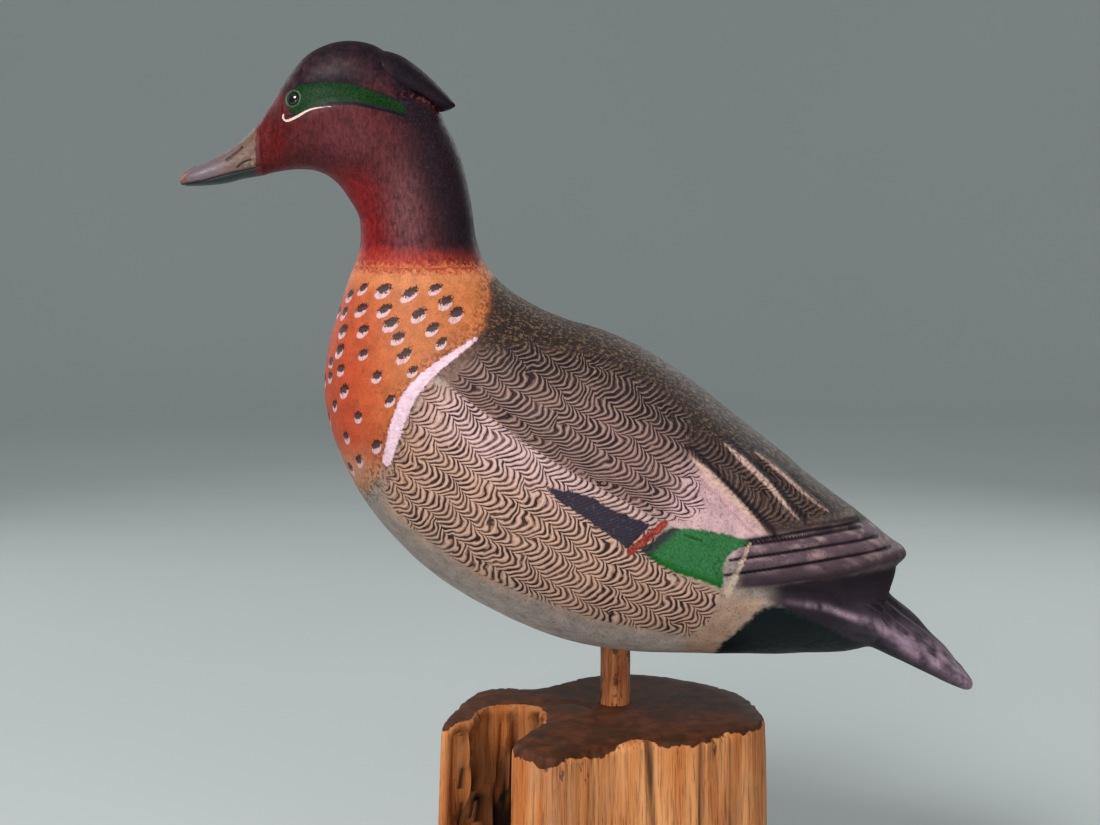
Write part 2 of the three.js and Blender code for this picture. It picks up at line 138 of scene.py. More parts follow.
BILL_STATIONS = np.array([
    [-143.9, 240.4, -143, 218.9, 8.2, 0.45, 1, 1],
    [-149.9, 234.2, -150.5, 217.6, 7.6, 0.42, 1.05, 0.9],
    [-158.3, 228.1, -158.6, 215.7, 7.2, 0.4, 1.05, 0.85],
    [-166.5, 224, -166.7, 214.8, 7.3, 0.4, 0.95, 0.8],
    [-172.8, 220.9, -172.8, 214.7, 6.6, 0.42, 0.85, 0.8],
    [-176.2, 218, -176, 215.2, 3.6, 0.5, 0.9, 0.9],
])
CREST_STATIONS = np.array([              # y, middle height, half height, half width
    [-97, 260, 9, 10],
    [-91, 259.6, 8.6, 9.8],
    [-85, 257.6, 8, 9],
    [-77.3, 252.7, 7, 7.4],
    [-71.3, 249.2, 4.8, 5.4],
    [-67.3, 247.6, 2.3, 3],
    [-65.3, 247, 0.6, 1],
])


def between(table, t):
    """Rows of a table at fractional places, on a smooth curve through its rows."""
    last = len(table) - 1
    first = np.minimum(np.floor(t).astype(int), last - 1)
    u = (t - first)[:, None]
    a, b, c, d = (table[np.clip(first + k, 0, last)] for k in (-1, 0, 1, 2))
    into, out = (c - a) / 2, (d - b) / 2
    cubic = 2 * b - 2 * c + into + out
    square = 3 * c - 3 * b - 2 * into - out
    return cubic * u ** 3 + square * u ** 2 + into * u + b


def even_places(table, step):
    """Places along a table whose rows' points are about one step apart."""
    fine = np.linspace(0, len(table) - 1, 40 * len(table))
    rows = between(table, fine)
    moved = np.diff(rows[:, :4], axis=0)
    length = np.maximum(np.hypot(moved[:, 0], moved[:, 1]), np.hypot(moved[:, 2], moved[:, 3]))
    total = np.concatenate([[0], np.cumsum(length)])
    count = int(total[-1] / step)
    return np.interp(np.linspace(0, total[-1], count + 1), total, fine)


def sections(rows, angles):
    """Points of each section: (rows, angles, xyz), angle 0 at the keel."""
    cosine, sine = np.cos(angles)[None], np.sin(angles)[None]
    high_y, high_z, low_y, low_z, half, belt, crown, keel = (rows[:, k:k + 1] for k in range(8))
    shape = np.where(cosine > 0, keel, crown)
    reach = np.where(cosine > 0, belt, 1 - belt)
    up = belt - reach * np.sign(cosine) * np.abs(cosine) ** shape
    x = half * np.sign(sine) * np.abs(sine) ** shape
    return np.stack([x, low_y + (high_y - low_y) * up, low_z + (high_z - low_z) * up], -1)


def loft(table, step, around):
    """Rings of points along a table, about one step apart."""
    angles = np.linspace(0, 2 * np.pi, around, endpoint=False)
    return sections(between(table, even_places(table, step)), angles)


def grid_normals(grid):
    """Outward unit normals of a closed loft."""
    along = np.gradient(grid, axis=0)
    around = np.roll(grid, -1, axis=1) - np.roll(grid, 1, axis=1)
    normals = np.cross(around, along)
    length = np.linalg.norm(normals, axis=-1, keepdims=True)
    return normals / np.maximum(length, 1e-9)


def skin_mesh(name, grid):
    """A closed mesh over a loft's rings; mm above the post become metres in the frame."""
    rings, around, _ = grid.shape
    ends = np.stack([grid[0].mean(0), grid[-1].mean(0)])
    points = np.concatenate([grid.reshape(-1, 3), ends])
    ring, step = np.meshgrid(np.arange(rings - 1), np.arange(around), indexing="ij")
    a = (ring * around + step).ravel()
    b = (ring * around + (step + 1) % around).ravel()
    quads = np.stack([a, b, b + around, a + around], 1)
    step = np.arange(around)
    after = (step + 1) % around
    hub = rings * around
    last = (rings - 1) * around
    caps = np.concatenate([
        np.stack([np.full(around, hub), after, step], 1),
        np.stack([np.full(around, hub + 1), last + step, last + after], 1),
    ])
    return mesh_from(name, points, [quads, caps])


def mesh_from(name, points, face_groups):
    """A mesh in the frame from points in mm above the post."""
    mesh = bpy.data.meshes.new(name)
    mesh.vertices.add(len(points))
    placed = (points + np.array([0, 0, POST_TOP])) * MM
    mesh.vertices.foreach_set("co", placed.astype(np.float32).ravel())
    corners = np.concatenate([faces.ravel() for faces in face_groups])
    sizes = np.concatenate([np.full(len(faces), faces.shape[1]) for faces in face_groups])
    mesh.loops.add(len(corners))
    mesh.loops.foreach_set("vertex_index", corners.astype(np.int32))
    mesh.polygons.add(len(sizes))
    starts = np.concatenate([[0], np.cumsum(sizes)[:-1]])
    mesh.polygons.foreach_set("loop_start", starts.astype(np.int32))
    mesh.update(calc_edges=True)
    mesh.validate()
    return mesh


# ------------------------------------------------------------------------------------
# Noise, lines and areas on the side of the bird

def value_noise(points, size, seed):
    """Smooth noise from -1 to 1 whose bumps are about `size` mm."""
    p = points / size + seed * 17.3
    cell = np.floor(p).astype(np.int64)
    f = p - cell
    f = f * f * (3 - 2 * f)
    total = 0
    for corner in range(8):
        step = np.array([corner & 1, corner >> 1 & 1, corner >> 2])
        c = cell + step
        h = (c[:, 0] * 374761393 + c[:, 1] * 668265263 + c[:, 2] * 2147483647) & 0xFFFFFFFF
        h = ((h ^ (h >> 13)) * 1274126177) & 0xFFFFFFFF
        value = ((h ^ (h >> 16)) & 0xFFFF) / 32767.5 - 1
        weight = np.prod(np.where(step == 1, f, 1 - f), axis=1)
        total = total + value * weight
    return total


def layered_noise(points, size, seed, layers=3):
    total = 0
    for k in range(layers):
        total = total + value_noise(points, size / 2 ** k, seed + k) / 2 ** k
    return total / (2 - 0.5 ** (layers - 1))


def smooth(value, low, high):
    t = np.clip((value - low) / (high - low), 0, 1)
    return t * t * (3 - 2 * t)


def bump(value, width):
    return np.exp(-(value / width) ** 2)


def fading(along, start, end):
    """1 along the middle of a line, falling to 0 at both its ends."""
    return smooth(along, 0, start) * (1 - smooth(along, end, 1))


class Line:
    """A smooth line through given [y, height] points, seen from the side."""

    def __init__(self, points, closed=False, corners=False):
        points = np.array(points, float)
        if closed:
            points = np.concatenate([points, points[:1]])
        if corners:
            self.path = points
        else:
            self.path = between(points, np.linspace(0, len(points) - 1, 5 * len(points)))

    def measure(self, y, h):
        """Distance, place along (0 to 1) and side (+1 is to the left of the direction)."""
        low, high = self.path.min(0) - FAR, self.path.max(0) + FAR
        near = (y > low[0]) & (y < high[0]) & (h > low[1]) & (h < high[1])
        py, ph = y[near], h[near]
        best = np.full(len(py), FAR)
        along = np.zeros(len(py))
        side = np.ones(len(py))
        steps = np.diff(self.path, axis=0)
        lengths = np.hypot(steps[:, 0], steps[:, 1])
        starts = np.concatenate([[0], np.cumsum(lengths)])
        for k in range(len(steps)):
            if lengths[k] < 1e-9:
                continue
            oy, oh = py - self.path[k, 0], ph - self.path[k, 1]
            t = np.clip((oy * steps[k, 0] + oh * steps[k, 1]) / lengths[k] ** 2, 0, 1)
            away = np.hypot(oy - t * steps[k, 0], oh - t * steps[k, 1])
            closer = away < best
            best[closer] = away[closer]
            along[closer] = ((starts[k] + t * lengths[k]) / starts[-1])[closer]
            cross = steps[k, 0] * oh - steps[k, 1] * oy
            side[closer] = np.where(cross[closer] >= 0, 1, -1)
        full = [np.full(len(y), FAR), np.zeros(len(y)), np.ones(len(y))]
        for whole, part in zip(full, (best, along, side)):
            whole[near] = part
        return full

    def over(self, y, h):
        """Signed distance, above 0 to the left of the direction, and place along."""
        away, along, side = self.measure(y, h)
        return away * side, along

    def area(self, y, h):
        """Signed distance to a closed line's edge: negative inside."""
        away = self.measure(y, h)[0]
        inside = np.zeros(len(y), bool)
        for (y0, h0), (y1, h1) in zip(self.path[:-1], self.path[1:]):
            if h0 == h1:
                continue
            crosses = (h0 > h) != (h1 > h)
            inside ^= crosses & (y < (y1 - y0) * (h - h0) / (h1 - h0) + y0)
        return np.where(inside, -away, away)


# Carved lines
SCAPULAR_RIDGE = Line([(-65, 137.5), (-56.5, 132), (-47.5, 125), (-38.5, 118.5), (-30, 113),
                       (-21.5, 108), (-12.5, 103), (-5.5, 98.5), (1, 95), (8.5, 91.5),
                       (14, 88.5)])
WING_LOW = Line([(38, 60), (45.5, 61), (55.5, 61), (71.5, 62), (92, 63), (105.5, 64),
                 (116, 64), (124, 62)])
WING_TOP = Line([(47.5, 78), (59.5, 79), (75.5, 80), (94, 79.5), (102, 79)])
PRIMARIES = [
    Line([(47, 76.5), (66.5, 77.5), (84.5, 78), (99, 77.5)]),
    Line([(43, 71), (63, 72.5), (83.5, 73.5), (106.5, 73)]),
    Line([(40.5, 65), (63.5, 67), (87.5, 68.5), (112, 68.5)]),
]
TERTIALS = [                             # light shafts and how wide each is at most
    (Line([(27, 111.5), (33, 106), (40, 99), (49.5, 89.5), (58.5, 80)]), 1.6),
    (Line([(41.5, 114.5), (50, 107), (60, 97.5), (67.5, 88.5), (72, 84)]), 1.1),
    (Line([(55, 109.5), (64.5, 102), (76.5, 91.5), (85, 85)]), 0.7),
]
TAIL_RIDGE = Line([(60, 52), (67.5, 51), (79.5, 48.5), (89.5, 44.5), (105.5, 37), (114.5, 31),
                   (120.5, 27), (131, 21.5), (137.5, 16.5), (145, 11)])
TAIL_GROOVES = [
    Line([(99, 48), (114.5, 36), (127, 28), (139, 18.5)]),
    Line([(103, 49.5), (117, 38), (129.5, 29.5), (141, 20.5)]),
    Line([(107, 51), (120.5, 40), (132, 31.5), (143, 21.5)]),
    Line([(112, 51), (123, 42), (134, 33), (144, 22.5)]),
]
CREST_GROOVE = Line([(-92, 252), (-86, 251.5), (-81, 250.5), (-76, 248), (-72, 244.5)])
LOBE_RIDGE = Line([(-90, 248), (-84, 247.5), (-78, 246.5), (-73, 243.5)])
MOUTH = Line([(-175.5, 215.5), (-167.5, 216.7), (-161.5, 218.3), (-153.5, 220.4),
              (-145.5, 222.2), (-141, 223.6)])
NOSTRIL = Line([(-157, 225.6), (-154, 227.8), (-150.8, 230.3)])
BILL_STREAK = Line([(-152.5, 222.5), (-150, 224.5), (-147, 225.5)])

# Painted lines and areas
BAR = Line([(-56.5, 156), (-63, 151.5), (-70, 146.5), (-77, 140.5), (-83, 133), (-86, 125.5),
            (-88.5, 118.5), (-91.5, 108)])
SLATE = Line([(-30, 101), (-23.5, 100), (-15, 98), (-9.5, 96), (-3.5, 92), (6, 88.5),
              (12, 86), (3, 77), (-3, 81), (-11.5, 87), (-23.5, 95)], closed=True, corners=True)
RED = Line([(4, 75.5), (17.3, 86.3)])
GREEN = Line([(8, 76), (19, 84), (30.5, 83.5), (41, 81), (51, 77.5), (46.5, 76), (43, 74),
              (40.5, 70.5), (39.5, 67), (40, 63.5), (40, 60), (31, 64), (22, 67),
              (15.5, 70.5)], closed=True, corners=True)
CREAM = Line([(51, 77), (48, 70), (45, 63.5), (42.5, 57.5)])
UNDERTAIL = Line([(40, 30), (43.5, 37), (49, 42.5), (54, 48.5), (57.5, 51), (62, 51.5),
                  (68, 49), (80, 42), (89, 36.5), (97, 32), (108, 25), (122, 15), (122, 0),
                  (38, 0)], closed=True, corners=True)
REAR_FLANK = Line([(28, 37), (35, 44.5), (45, 57), (58, 54), (52, 46), (43, 34), (38, 15),
                   (25, 15)], closed=True, corners=True)
FLANK = Line([(-90, 106), (-86, 122), (-76, 139), (-64, 138), (-38.5, 118.5), (-12.5, 103),
              (14, 88.5), (13, 74), (21.5, 66), (31, 61.5), (40, 57), (35, 45), (28, 38),
              (13, 41.5), (-11, 46.5), (-35, 55), (-54, 62.5), (-70.5, 72.5), (-82.5, 81),
              (-91, 90), (-93, 98)], closed=True, corners=True)
SCAPULAR = Line([(-65, 139), (-54, 151), (-35, 153), (-8, 148), (14, 137), (28, 125), (27, 116),
                 (30, 104), (32, 92), (24, 88), (14, 88.5), (-12.5, 103), (-38.5, 118.5)],
                closed=True, corners=True)
EYE_PATCH = Line([(-130.8, 248.8), (-130, 251.5), (-127.5, 254.3), (-123.8, 255.3),
                  (-117.7, 256), (-112, 255.9), (-104.4, 255), (-96.8, 252.6), (-89.6, 249.7),
                  (-85.4, 247), (-84.1, 244.6), (-85.5, 243.8), (-89.8, 245.3),
                  (-96.9, 247.1), (-104.6, 248.5), (-112, 248.5), (-117.5, 247.7),
                  (-122.3, 246), (-125.9, 244.3), (-129, 243.9), (-130.4, 245)], closed=True)
BROW = Line([(-130, 257), (-122, 261.5), (-110, 263), (-98, 260), (-89, 254.5)])
PATCH_SHADOW = Line([(-131.5, 242.8), (-125.7, 243.9), (-117.7, 247), (-112.4, 247.7),
                     (-104.6, 247.7), (-97.1, 246.1), (-89.4, 244.2), (-84.5, 242.6)])
CREAM_LINE = Line([(-133.1, 243.4), (-133.2, 241.9), (-131.6, 240.9), (-128.3, 242.1),
                   (-124.3, 244.3), (-121.5, 245.5), (-117.9, 246.2), (-111.6, 246.7)])
SPOTS = [                                # y and height of each breast spot
    (-108, 171), (-102, 174), (-93.5, 174), (-83, 172.5), (-72.5, 175), (-68.5, 169.5),
    (-64, 165), (-110, 164), (-102.5, 166), (-93, 166.5), (-79, 165), (-73.5, 159.5),
    (-70, 154.5), (-110.5, 157.5), (-101.5, 158), (-90, 161), (-87, 156), (-111.5, 149.5),
    (-101, 149.5), (-84.5, 149.5), (-81.5, 143.5), (-115.5, 144), (-111, 142.5), (-96, 141),
    (-116, 138.5), (-109, 134), (-90, 132), (-113.5, 127.5), (-103, 124.5), (-109, 115.5),
    (-96, 114), (-103.5, 106.5), (-107.5, 101.5),
]
FRONT_SPOTS = [                          # x and height of those on the breast's middle
    (0, 177), (4.5, 164), (-4.5, 157), (0, 148), (5.5, 136), (-5, 128), (0, 117), (8, 108),
    (-8, 104), (0, 95), (9, 120), (-9, 139), (-6, 168),
]


# ------------------------------------------------------------------------------------
# Relief

def body_relief(points):
    """How far the carving stands out from the loft, in mm, at points in mm."""
    y, h = points[:, 1], points[:, 2]
    out = 0.22 * value_noise(points, 13, 3) + 0.10 * value_noise(points, 6, 4)
    # scapular edge: a lip on the flank side, then a hollow, then the swell of the feathers
    over, along = SCAPULAR_RIDGE.over(y, h)
    lip = 0.9 * bump(over + 0.8, 3.2)
    hollow = 2.0 * bump(over - 3.2, 3.0)
    swell = 1.3 * bump(over - 17, 9)
    out += fading(along, 0.12, 0.86) * (lip - hollow) + smooth(along, 0, 0.2) * swell
    # wing tips stand over the rump, which is hollowed down to the tail's side ridge
    over, along = WING_LOW.over(y, h)
    over_tail, along_tail = TAIL_RIDGE.over(y, h)
    reach = smooth(y, 46, 78)
    out -= 4.6 * reach * smooth(-over, 0, 3) * smooth(over_tail, -1, 9)
    out += 0.9 * reach * bump(over - 1.6, 2.2) * smooth(along, 0.02, 0.15)
    out += 1.5 * bump(over_tail, 3.2) * smooth(along_tail, 0.05, 0.4)
    # flight feathers: each lies a little over the next
    for line in PRIMARIES:
        over, along = line.over(y, h)
        lap = 0.55 * smooth(over, 0, 0.9) * bump(over, 4.5)
        out += fading(along, 0.06, 0.9) * (lap - 0.9 * bump(over, 0.8))
    over, along = WING_TOP.over(y, h)
    out += fading(along, 0.1, 0.85) * (0.8 * bump(over - 1.2, 1.6) - 0.9 * bump(over, 0.9))
    # shafts of the long back feathers, with a cut under each
    for line, width in TERTIALS:
        over, along = line.over(y, h)
        cut = 1.3 * bump(over + width + 1.2, 1.1)
        out += fading(along, 0.15, 0.85) * (0.95 * bump(over, width) - cut)
    for line in TAIL_GROOVES:
        over, along = line.over(y, h)
        out += fading(along, 0.12, 0.88) * (0.4 * bump(over - 1.3, 1.2) - 0.9 * bump(over, 0.75))
    return out


def head_relief(points):
    """The cheek, the hollow round the eye patch, the face, and the crest's groove and lobe."""
    x, y, h = np.abs(points[:, 0]), points[:, 1], points[:, 2]
    sideways = smooth(x, 3, 8)
    out = 0.16 * value_noise(points, 10, 5)
    out += 1.5 * bump(y + 109, 17) * bump(h - 233, 11) * sideways
    out -= 0.9 * smooth(-EYE_PATCH.area(y, h), -4, 2.5) * sideways
    out -= 0.7 * bump(y + 138, 6) * bump(h - 236, 9) * sideways
    away, along, _ = CREST_GROOVE.measure(y, h)
    out -= 1.6 * bump(away, 1.3) * smooth(along, 0, 0.4) * smooth(x, 0.5, 2)
    away, along, _ = LOBE_RIDGE.measure(y, h)
    out += 1.7 * bump(away, 2.4) * smooth(along, 0, 0.5) * smooth(x, 0.2, 2)
    return out * (1 - smooth(-y, 138, 143.5))


def bill_relief(points):
    """The mouth's line, the nostril and the nail at the tip."""
    x, y, h = np.abs(points[:, 0]), points[:, 1], points[:, 2]
    out = 0.05 * value_noise(points, 5, 6)
    out -= 0.55 * bump(MOUTH.measure(y, h)[0], 0.45) * smooth(x, 1, 2.5)
    out -= 0.6 * bump(NOSTRIL.measure(y, h)[0], 0.6) * smooth(x, 1.5, 3)
    nail = np.hypot((y + 173.5) / 3.4, x / 2.6)
    return out + 0.45 * smooth(1.25 - nail, 0, 0.3) * smooth(h, 216, 218)


def carved(grid, relief):
    """A loft's points moved out along its normals by the relief."""
    flat = grid.reshape(-1, 3)
    moved = flat + grid_normals(grid).reshape(-1, 3) * relief(flat)[:, None]
    return moved.reshape(grid.shape)


# ------------------------------------------------------------------------------------
# Cutting into pieces

def add_object(name, mesh):
    piece = bpy.data.objects.new(name, mesh)
    bpy.context.scene.collection.objects.link(piece)
    return piece


def apply_modifiers(piece):
    """Make the modifiers' result the piece's own mesh."""
    depsgraph = bpy.context.evaluated_depsgraph_get()
    mesh = bpy.data.meshes.new_from_object(piece.evaluated_get(depsgraph))
    old = piece.data
    piece.modifiers.clear()
    piece.data = mesh
    mesh.name = piece.name
    if old.users == 0:
        bpy.data.meshes.remove(old)


def boolean(piece, operation, *tools):
    for tool in tools:
        cut = piece.modifiers.new("cut", "BOOLEAN")
        cut.operation = operation
        cut.solver = "MANIFOLD"
        cut.object = tool
        apply_modifiers(piece)


def block(name, low, high, turn=None):
    """A box between two corners, in mm above the post, turned about its middle."""
    mesh = bpy.data.meshes.new(name)
    shape = bmesh.new()
    bmesh.ops.create_cube(shape, size=1)
    low, high = Vector(low), Vector(high)
    shape.transform(Matrix.Diagonal((*(high - low), 1)))
    if turn is not None:
        shape.transform(turn)
    middle = (low + high) / 2 + Vector((0, 0, POST_TOP))
    shape.transform(Matrix.Translation(middle))
    shape.transform(Matrix.Scale(MM, 4))
    shape.to_mesh(mesh)
    shape.free()
    return add_object(name, mesh)


def rod(name, start, end, radius, sides=48):
    """A round bar between two points, in mm above the post."""
    start, end = Vector(start), Vector(end)
    mesh = bpy.data.meshes.new(name)
    shape = bmesh.new()
    bmesh.ops.create_cone(shape, cap_ends=True, segments=sides, radius1=radius, radius2=radius,
                          depth=(end - start).length)
    turn = Vector((0, 0, 1)).rotation_difference(end - start).to_matrix().to_4x4()
    middle = (start + end) / 2 + Vector((0, 0, POST_TOP))
    shape.transform(Matrix.Scale(MM, 4) @ Matrix.Translation(middle) @ turn)
    shape.to_mesh(mesh)
    shape.free()
    return add_object(name, mesh)


def seam_block(side):
    """Everything on one side of the body's sloping seam."""
    size = 700
    normal = Vector((0, math.sin(SEAM_TILT), math.cos(SEAM_TILT)))
    middle = Vector((0, *SEAM_POINT)) + normal * side * (size / 2 + HAIRLINE / 2)
    half = Vector((size / 2,) * 3)
    turn = Matrix.Rotation(-SEAM_TILT, 4, "X")
    return block("seam_block", middle - half, middle + half, turn)


def discard(*pieces):
    for piece in pieces:
        mesh = piece.data
        bpy.data.objects.remove(piece)
        if mesh.users == 0:
            bpy.data.meshes.remove(mesh)


# ------------------------------------------------------------------------------------
# Paint: what each vertex stores

def colour(red, green, blue):
    """A colour as an eye reads it, 0 to 255, made linear for the shaders."""
    values = np.array([red, green, blue]) / 255
    return np.where(values <= 0.04045, values / 12.92, ((values + 0.055) / 1.055) ** 2.4)


def blend(under, over, weight):
    """One colour over another, by each point's weight from 0 to 1."""
    weight = weight[:, None]
    return under * (1 - weight) + over * weight


def past_first_shaft(y, h, low, high):
    """How far each point is into the dark feathers behind the first pale shaft, 0 to 1."""
    return smooth(TERTIALS[0][0].over(y, h)[0], low, high) * smooth(y + 0.6 * (h - 100), 26, 40)


BREAST = Line([(-56.5, 156), (-63, 151.5), (-70, 146.5), (-77, 140.5), (-83, 133),
               (-86, 125.5), (-88.5, 118.5), (-91.5, 108), (-96, 99), (-102, 91), (-130, 88),
               (-130, 195), (-48, 195), (-50, 178), (-51.5, 168), (-52.5, 162)],
              closed=True, corners=True)
BACK_EDGE = Line([(-52, 158), (-40, 152), (-25, 148.5), (-5, 143.5), (14, 133), (28, 121.5),
                  (42, 117), (60, 107), (85, 88), (104, 76)])
COMB_LINE = Line([(-98, 164), (-65, 137.5), (-47.5, 125), (-30, 113), (-12.5, 103), (14, 88.5),
                  (45, 72), (75, 57)])
PRIMARY_AREA = Line([(46, 79), (60, 80), (76, 81), (95, 80.5), (108, 76), (124, 66), (124, 61),
                     (105.5, 62.5), (92, 61.5), (71.5, 60.5), (55.5, 59.5), (42, 59.5)],
                    closed=True, corners=True)
RUMP_AREA = Line([(48, 59.5), (71.5, 60.5), (92, 61.5), (126, 62), (126, 20), (104, 20),
                  (92, 26), (78, 38), (68, 47), (60, 52.5)], closed=True, corners=True)


def body_ground(p):
    """The soft-edged paint under the marks, and how far each point is into the dark back."""
    y, h = p[:, 1], p[:, 2]
    coarse = layered_noise(p, 16, 11)
    fine = layered_noise(p, 4.5, 21)
    flecks = layered_noise(p, 2.2, 31, 2)
    # belly: grey, painted lighter low down as light bounced up from below
    paint = blend(colour(158, 142, 132), colour(190, 176, 168), smooth(-h, -70, -20))
    paint = blend(paint, colour(112, 102, 94), smooth(fine + 0.5 * flecks, -0.1, 0.9) * 0.55)
    # flank: pinkish tan above, ochre below and behind
    warm = blend(colour(208, 168, 166), colour(188, 144, 118),
                 smooth(-h - 0.42 * y + 6 * coarse, -100, -74))
    warm = blend(warm, colour(160, 124, 104), smooth(coarse + fine, 0.2, 1.0) * 0.5)
    warm = blend(warm, colour(178, 132, 108), bump(BAR.measure(y, h)[0], 16) * 0.7)
    paint = blend(paint, warm, 1 - smooth(FLANK.area(y, h) + 3 * fine, -5, 6))
    rear = 1 - smooth(REAR_FLANK.area(y, h) + 2 * fine, -3, 4)
    paint = blend(paint, colour(180, 146, 124), rear)
    # shoulder and back feathers above the carved ridge
    upper = smooth(COMB_LINE.over(y, h)[0], -0.5, 0.5) * smooth(h + 0.6 * y, 78, 90)
    upper = upper * (1 - smooth(-GREEN.area(y, h), -1, 1))
    feathers = blend(colour(136, 104, 96), colour(206, 166, 168),
                     smooth(y - 0.5 * (h - 90), 5, 28))
    feathers = blend(feathers, colour(120, 92, 82), smooth(-y + 8 * coarse, -4, 30) * 0.8)
    paint = blend(paint, feathers, upper)
    back = upper * smooth(BACK_EDGE.over(y, h)[0] + 5 * fine + 3 * coarse, -17, 1)
    # the long feathers behind are dark between their pale shafts
    behind_shaft = upper * past_first_shaft(y, h, -1.5, 1.5)
    paint = blend(paint, colour(92, 72, 70), behind_shaft * (1 - smooth(-h, -82, -78)))
    back = np.maximum(back, 0.55 * behind_shaft)
    paint = blend(paint, colour(52, 41, 38), back)
    # flight feathers, rump and tail
    quills = blend(colour(96, 75, 84), colour(172, 142, 140),
                   smooth(layered_noise(p * [1, 0.25, 1.6], 3, 41), -0.1, 0.8))
    quills = blend(quills, colour(60, 46, 52), smooth(-h, -70, -62))
    flight = (1 - smooth(PRIMARY_AREA.area(y, h), -1.0, 1.2)) * smooth(y, 42, 50)
    paint = blend(paint, quills, flight)
    # dark rump under the wing tips: partly its own dark paint, partly painted shade under their
    # overhang
    rump = (1 - smooth(RUMP_AREA.area(y, h) + fine, -2, 2)) * smooth(y, 50, 66)
    paint = blend(paint, colour(40, 29, 38), rump)
    over, along = TAIL_RIDGE.over(y, h)
    behind = smooth(y, 82, 98) * smooth(-h - 0.2 * y, -72, -64)
    tail = blend(colour(62, 50, 62), colour(32, 24, 32), smooth(fine + flecks * 0.5, 0, 0.9))
    paint = blend(paint, tail, behind)
    back = back * (1 - flight) * (1 - rump) * (1 - behind)
    # a painted highlight along the tail's side ridge
    tail_ridge_highlight = bump(over - 1.5, 1.2 + 3.0 * smooth(along, 0.3, 0.75)) * smooth(along, 0.0, 0.25)
    paint = blend(paint, colour(176, 146, 164), 0.8 * tail_ridge_highlight * smooth(fine, -0.6, 0.4))
    paint = blend(paint, colour(14, 20, 27), smooth(-over, 2.5, 7) * smooth(y, 92, 110))
    # breast: burnt orange, paler and browner towards the shoulder
    orange = blend(colour(182, 74, 44), colour(188, 108, 62),
                   smooth(y + 0.15 * (h - 140) + 4 * coarse, -112, -76))
    orange = blend(orange, colour(150, 70, 40), smooth(fine + flecks * 0.6, 0.1, 1.0) * 0.55)
    orange = blend(orange, colour(186, 138, 104), smooth(-h + 4 * fine, -118, -94) * 0.9)
    orange = blend(orange, colour(214, 134, 88), smooth(h + 3 * fine, 170, 180) * 0.6)
    edge = BREAST.area(y, h) + 2.2 * fine
    inside = 1 - smooth(edge, -2.0, 2.5)
    return blend(paint, orange, inside), back * (1 - inside), edge


def nearest_on(points, grid, columns, wanted):
    """The wanted points of a loft that are nearest to each request in two of x, y and z."""
    flat = grid.reshape(-1, 3)
    flat = flat[wanted(flat)]
    near = [np.argmin(np.hypot(*(flat[:, columns] - point).T)) for point in points]
    return flat[near]


def spot_coordinates(p, centres):
    """Rearward and up from the nearest spot's centre, in mm, and that spot's number."""
    best = np.full(len(p), np.inf)
    local = np.zeros((len(p), 3))
    for index, centre in enumerate(centres):
        move = p - centre
        away = np.linalg.norm(move, axis=1)
        closer = away < best
        best[closer] = away[closer]
        outward = np.array([centre[0], centre[1] - NECK_AXIS])
        rearward = np.array([-outward[1], outward[0]]) / np.linalg.norm(outward)
        local[closer, 0] = move[closer, :2] @ rearward
        local[closer, 1] = move[closer, 2]
        local[closer, 2] = index
    return local


def line_edge(line, y, h, half_widths):
    """Signed distance to the edge of a stroke whose half width varies along it."""
    away, along, _ = line.measure(y, h)
    return away - np.interp(along, np.linspace(0, 1, len(half_widths)), half_widths)


def store(mesh, name, *columns):
    """Three numbers at each vertex, which a material reads as a vector."""
    values = np.column_stack(columns).astype(np.float32)
    layer = mesh.attributes.new(name, "FLOAT_VECTOR", "POINT")
    layer.data.foreach_set("vector", values.ravel())


def vertex_points(mesh):
    """Vertex positions in mm, heights above the post."""
    values = np.empty(len(mesh.vertices) * 3, np.float32)
    mesh.vertices.foreach_get("co", values)
    return values.reshape(-1, 3).astype(float) / MM - np.array([0, 0, POST_TOP])


def paint_body(mesh, centres):
    """Store what the body material reads; centres are those of the breast spots."""
    p = vertex_points(mesh)
    y, h = p[:, 1], p[:, 2]
    ground, back, breast_edge = body_ground(p)
    store(mesh, "ground", ground)
    store(mesh, "zones", back, breast_edge, h)
    bar = line_edge(BAR, y, h, (0.6, 1.3, 1.8, 2.3, 2.7, 2.8, 2.4, 1.9))
    slate = SLATE.area(y, h)
    store(mesh, "marks_a", bar, slate, line_edge(RED, y, h, (1.5, 1.7, 1.5)))
    store(mesh, "marks_b", GREEN.area(y, h), line_edge(CREAM, y, h, (0.5, 0.9, 1.1, 1.7)),
          UNDERTAIL.area(y, h))
    # combed on the flank, on the shoulder, and faintly between the pale shafts
    across, along = COMB_LINE.over(y, h)
    flank = 1 - smooth(FLANK.area(y, h), -3, 1.5)
    flank = flank * (0.45 + 0.55 * smooth(bar, 3, 20)) * (1 - smooth(-slate, -2, 1))
    shoulder = np.where(across > 0, 1 - smooth(SCAPULAR.area(y, h), -4, 3), 0)
    behind = past_first_shaft(y, h, 0, 2) * (1 - smooth(BACK_EDGE.over(y, h)[0], -6, 2))
    behind = 0.45 * behind * smooth(h, 82, 86) * smooth(-y, -102, -90)
    strength = np.maximum.reduce([flank, shoulder, behind])
    store(mesh, "comb", along * COMB_LENGTH, across, strength)
    shafts, cuts = [], []
    for line, width in TERTIALS:
        shafts.append(line_edge(line, y, h, (0.1, width, width, width * 0.7, 0.1)))
        over, _ = line.over(y, h)
        cuts.append(np.where(over < 0, FAR, np.abs(over - width - 1.0)))
    quills = [line.measure(y, h)[0] for line in (*PRIMARIES, WING_TOP)]
    store(mesh, "feather", *(np.min(group, axis=0) for group in (shafts, cuts, quills)))
    left = np.column_stack([np.abs(p[:, 0]), p[:, 1:]])
    store(mesh, "spot", spot_coordinates(left, centres))


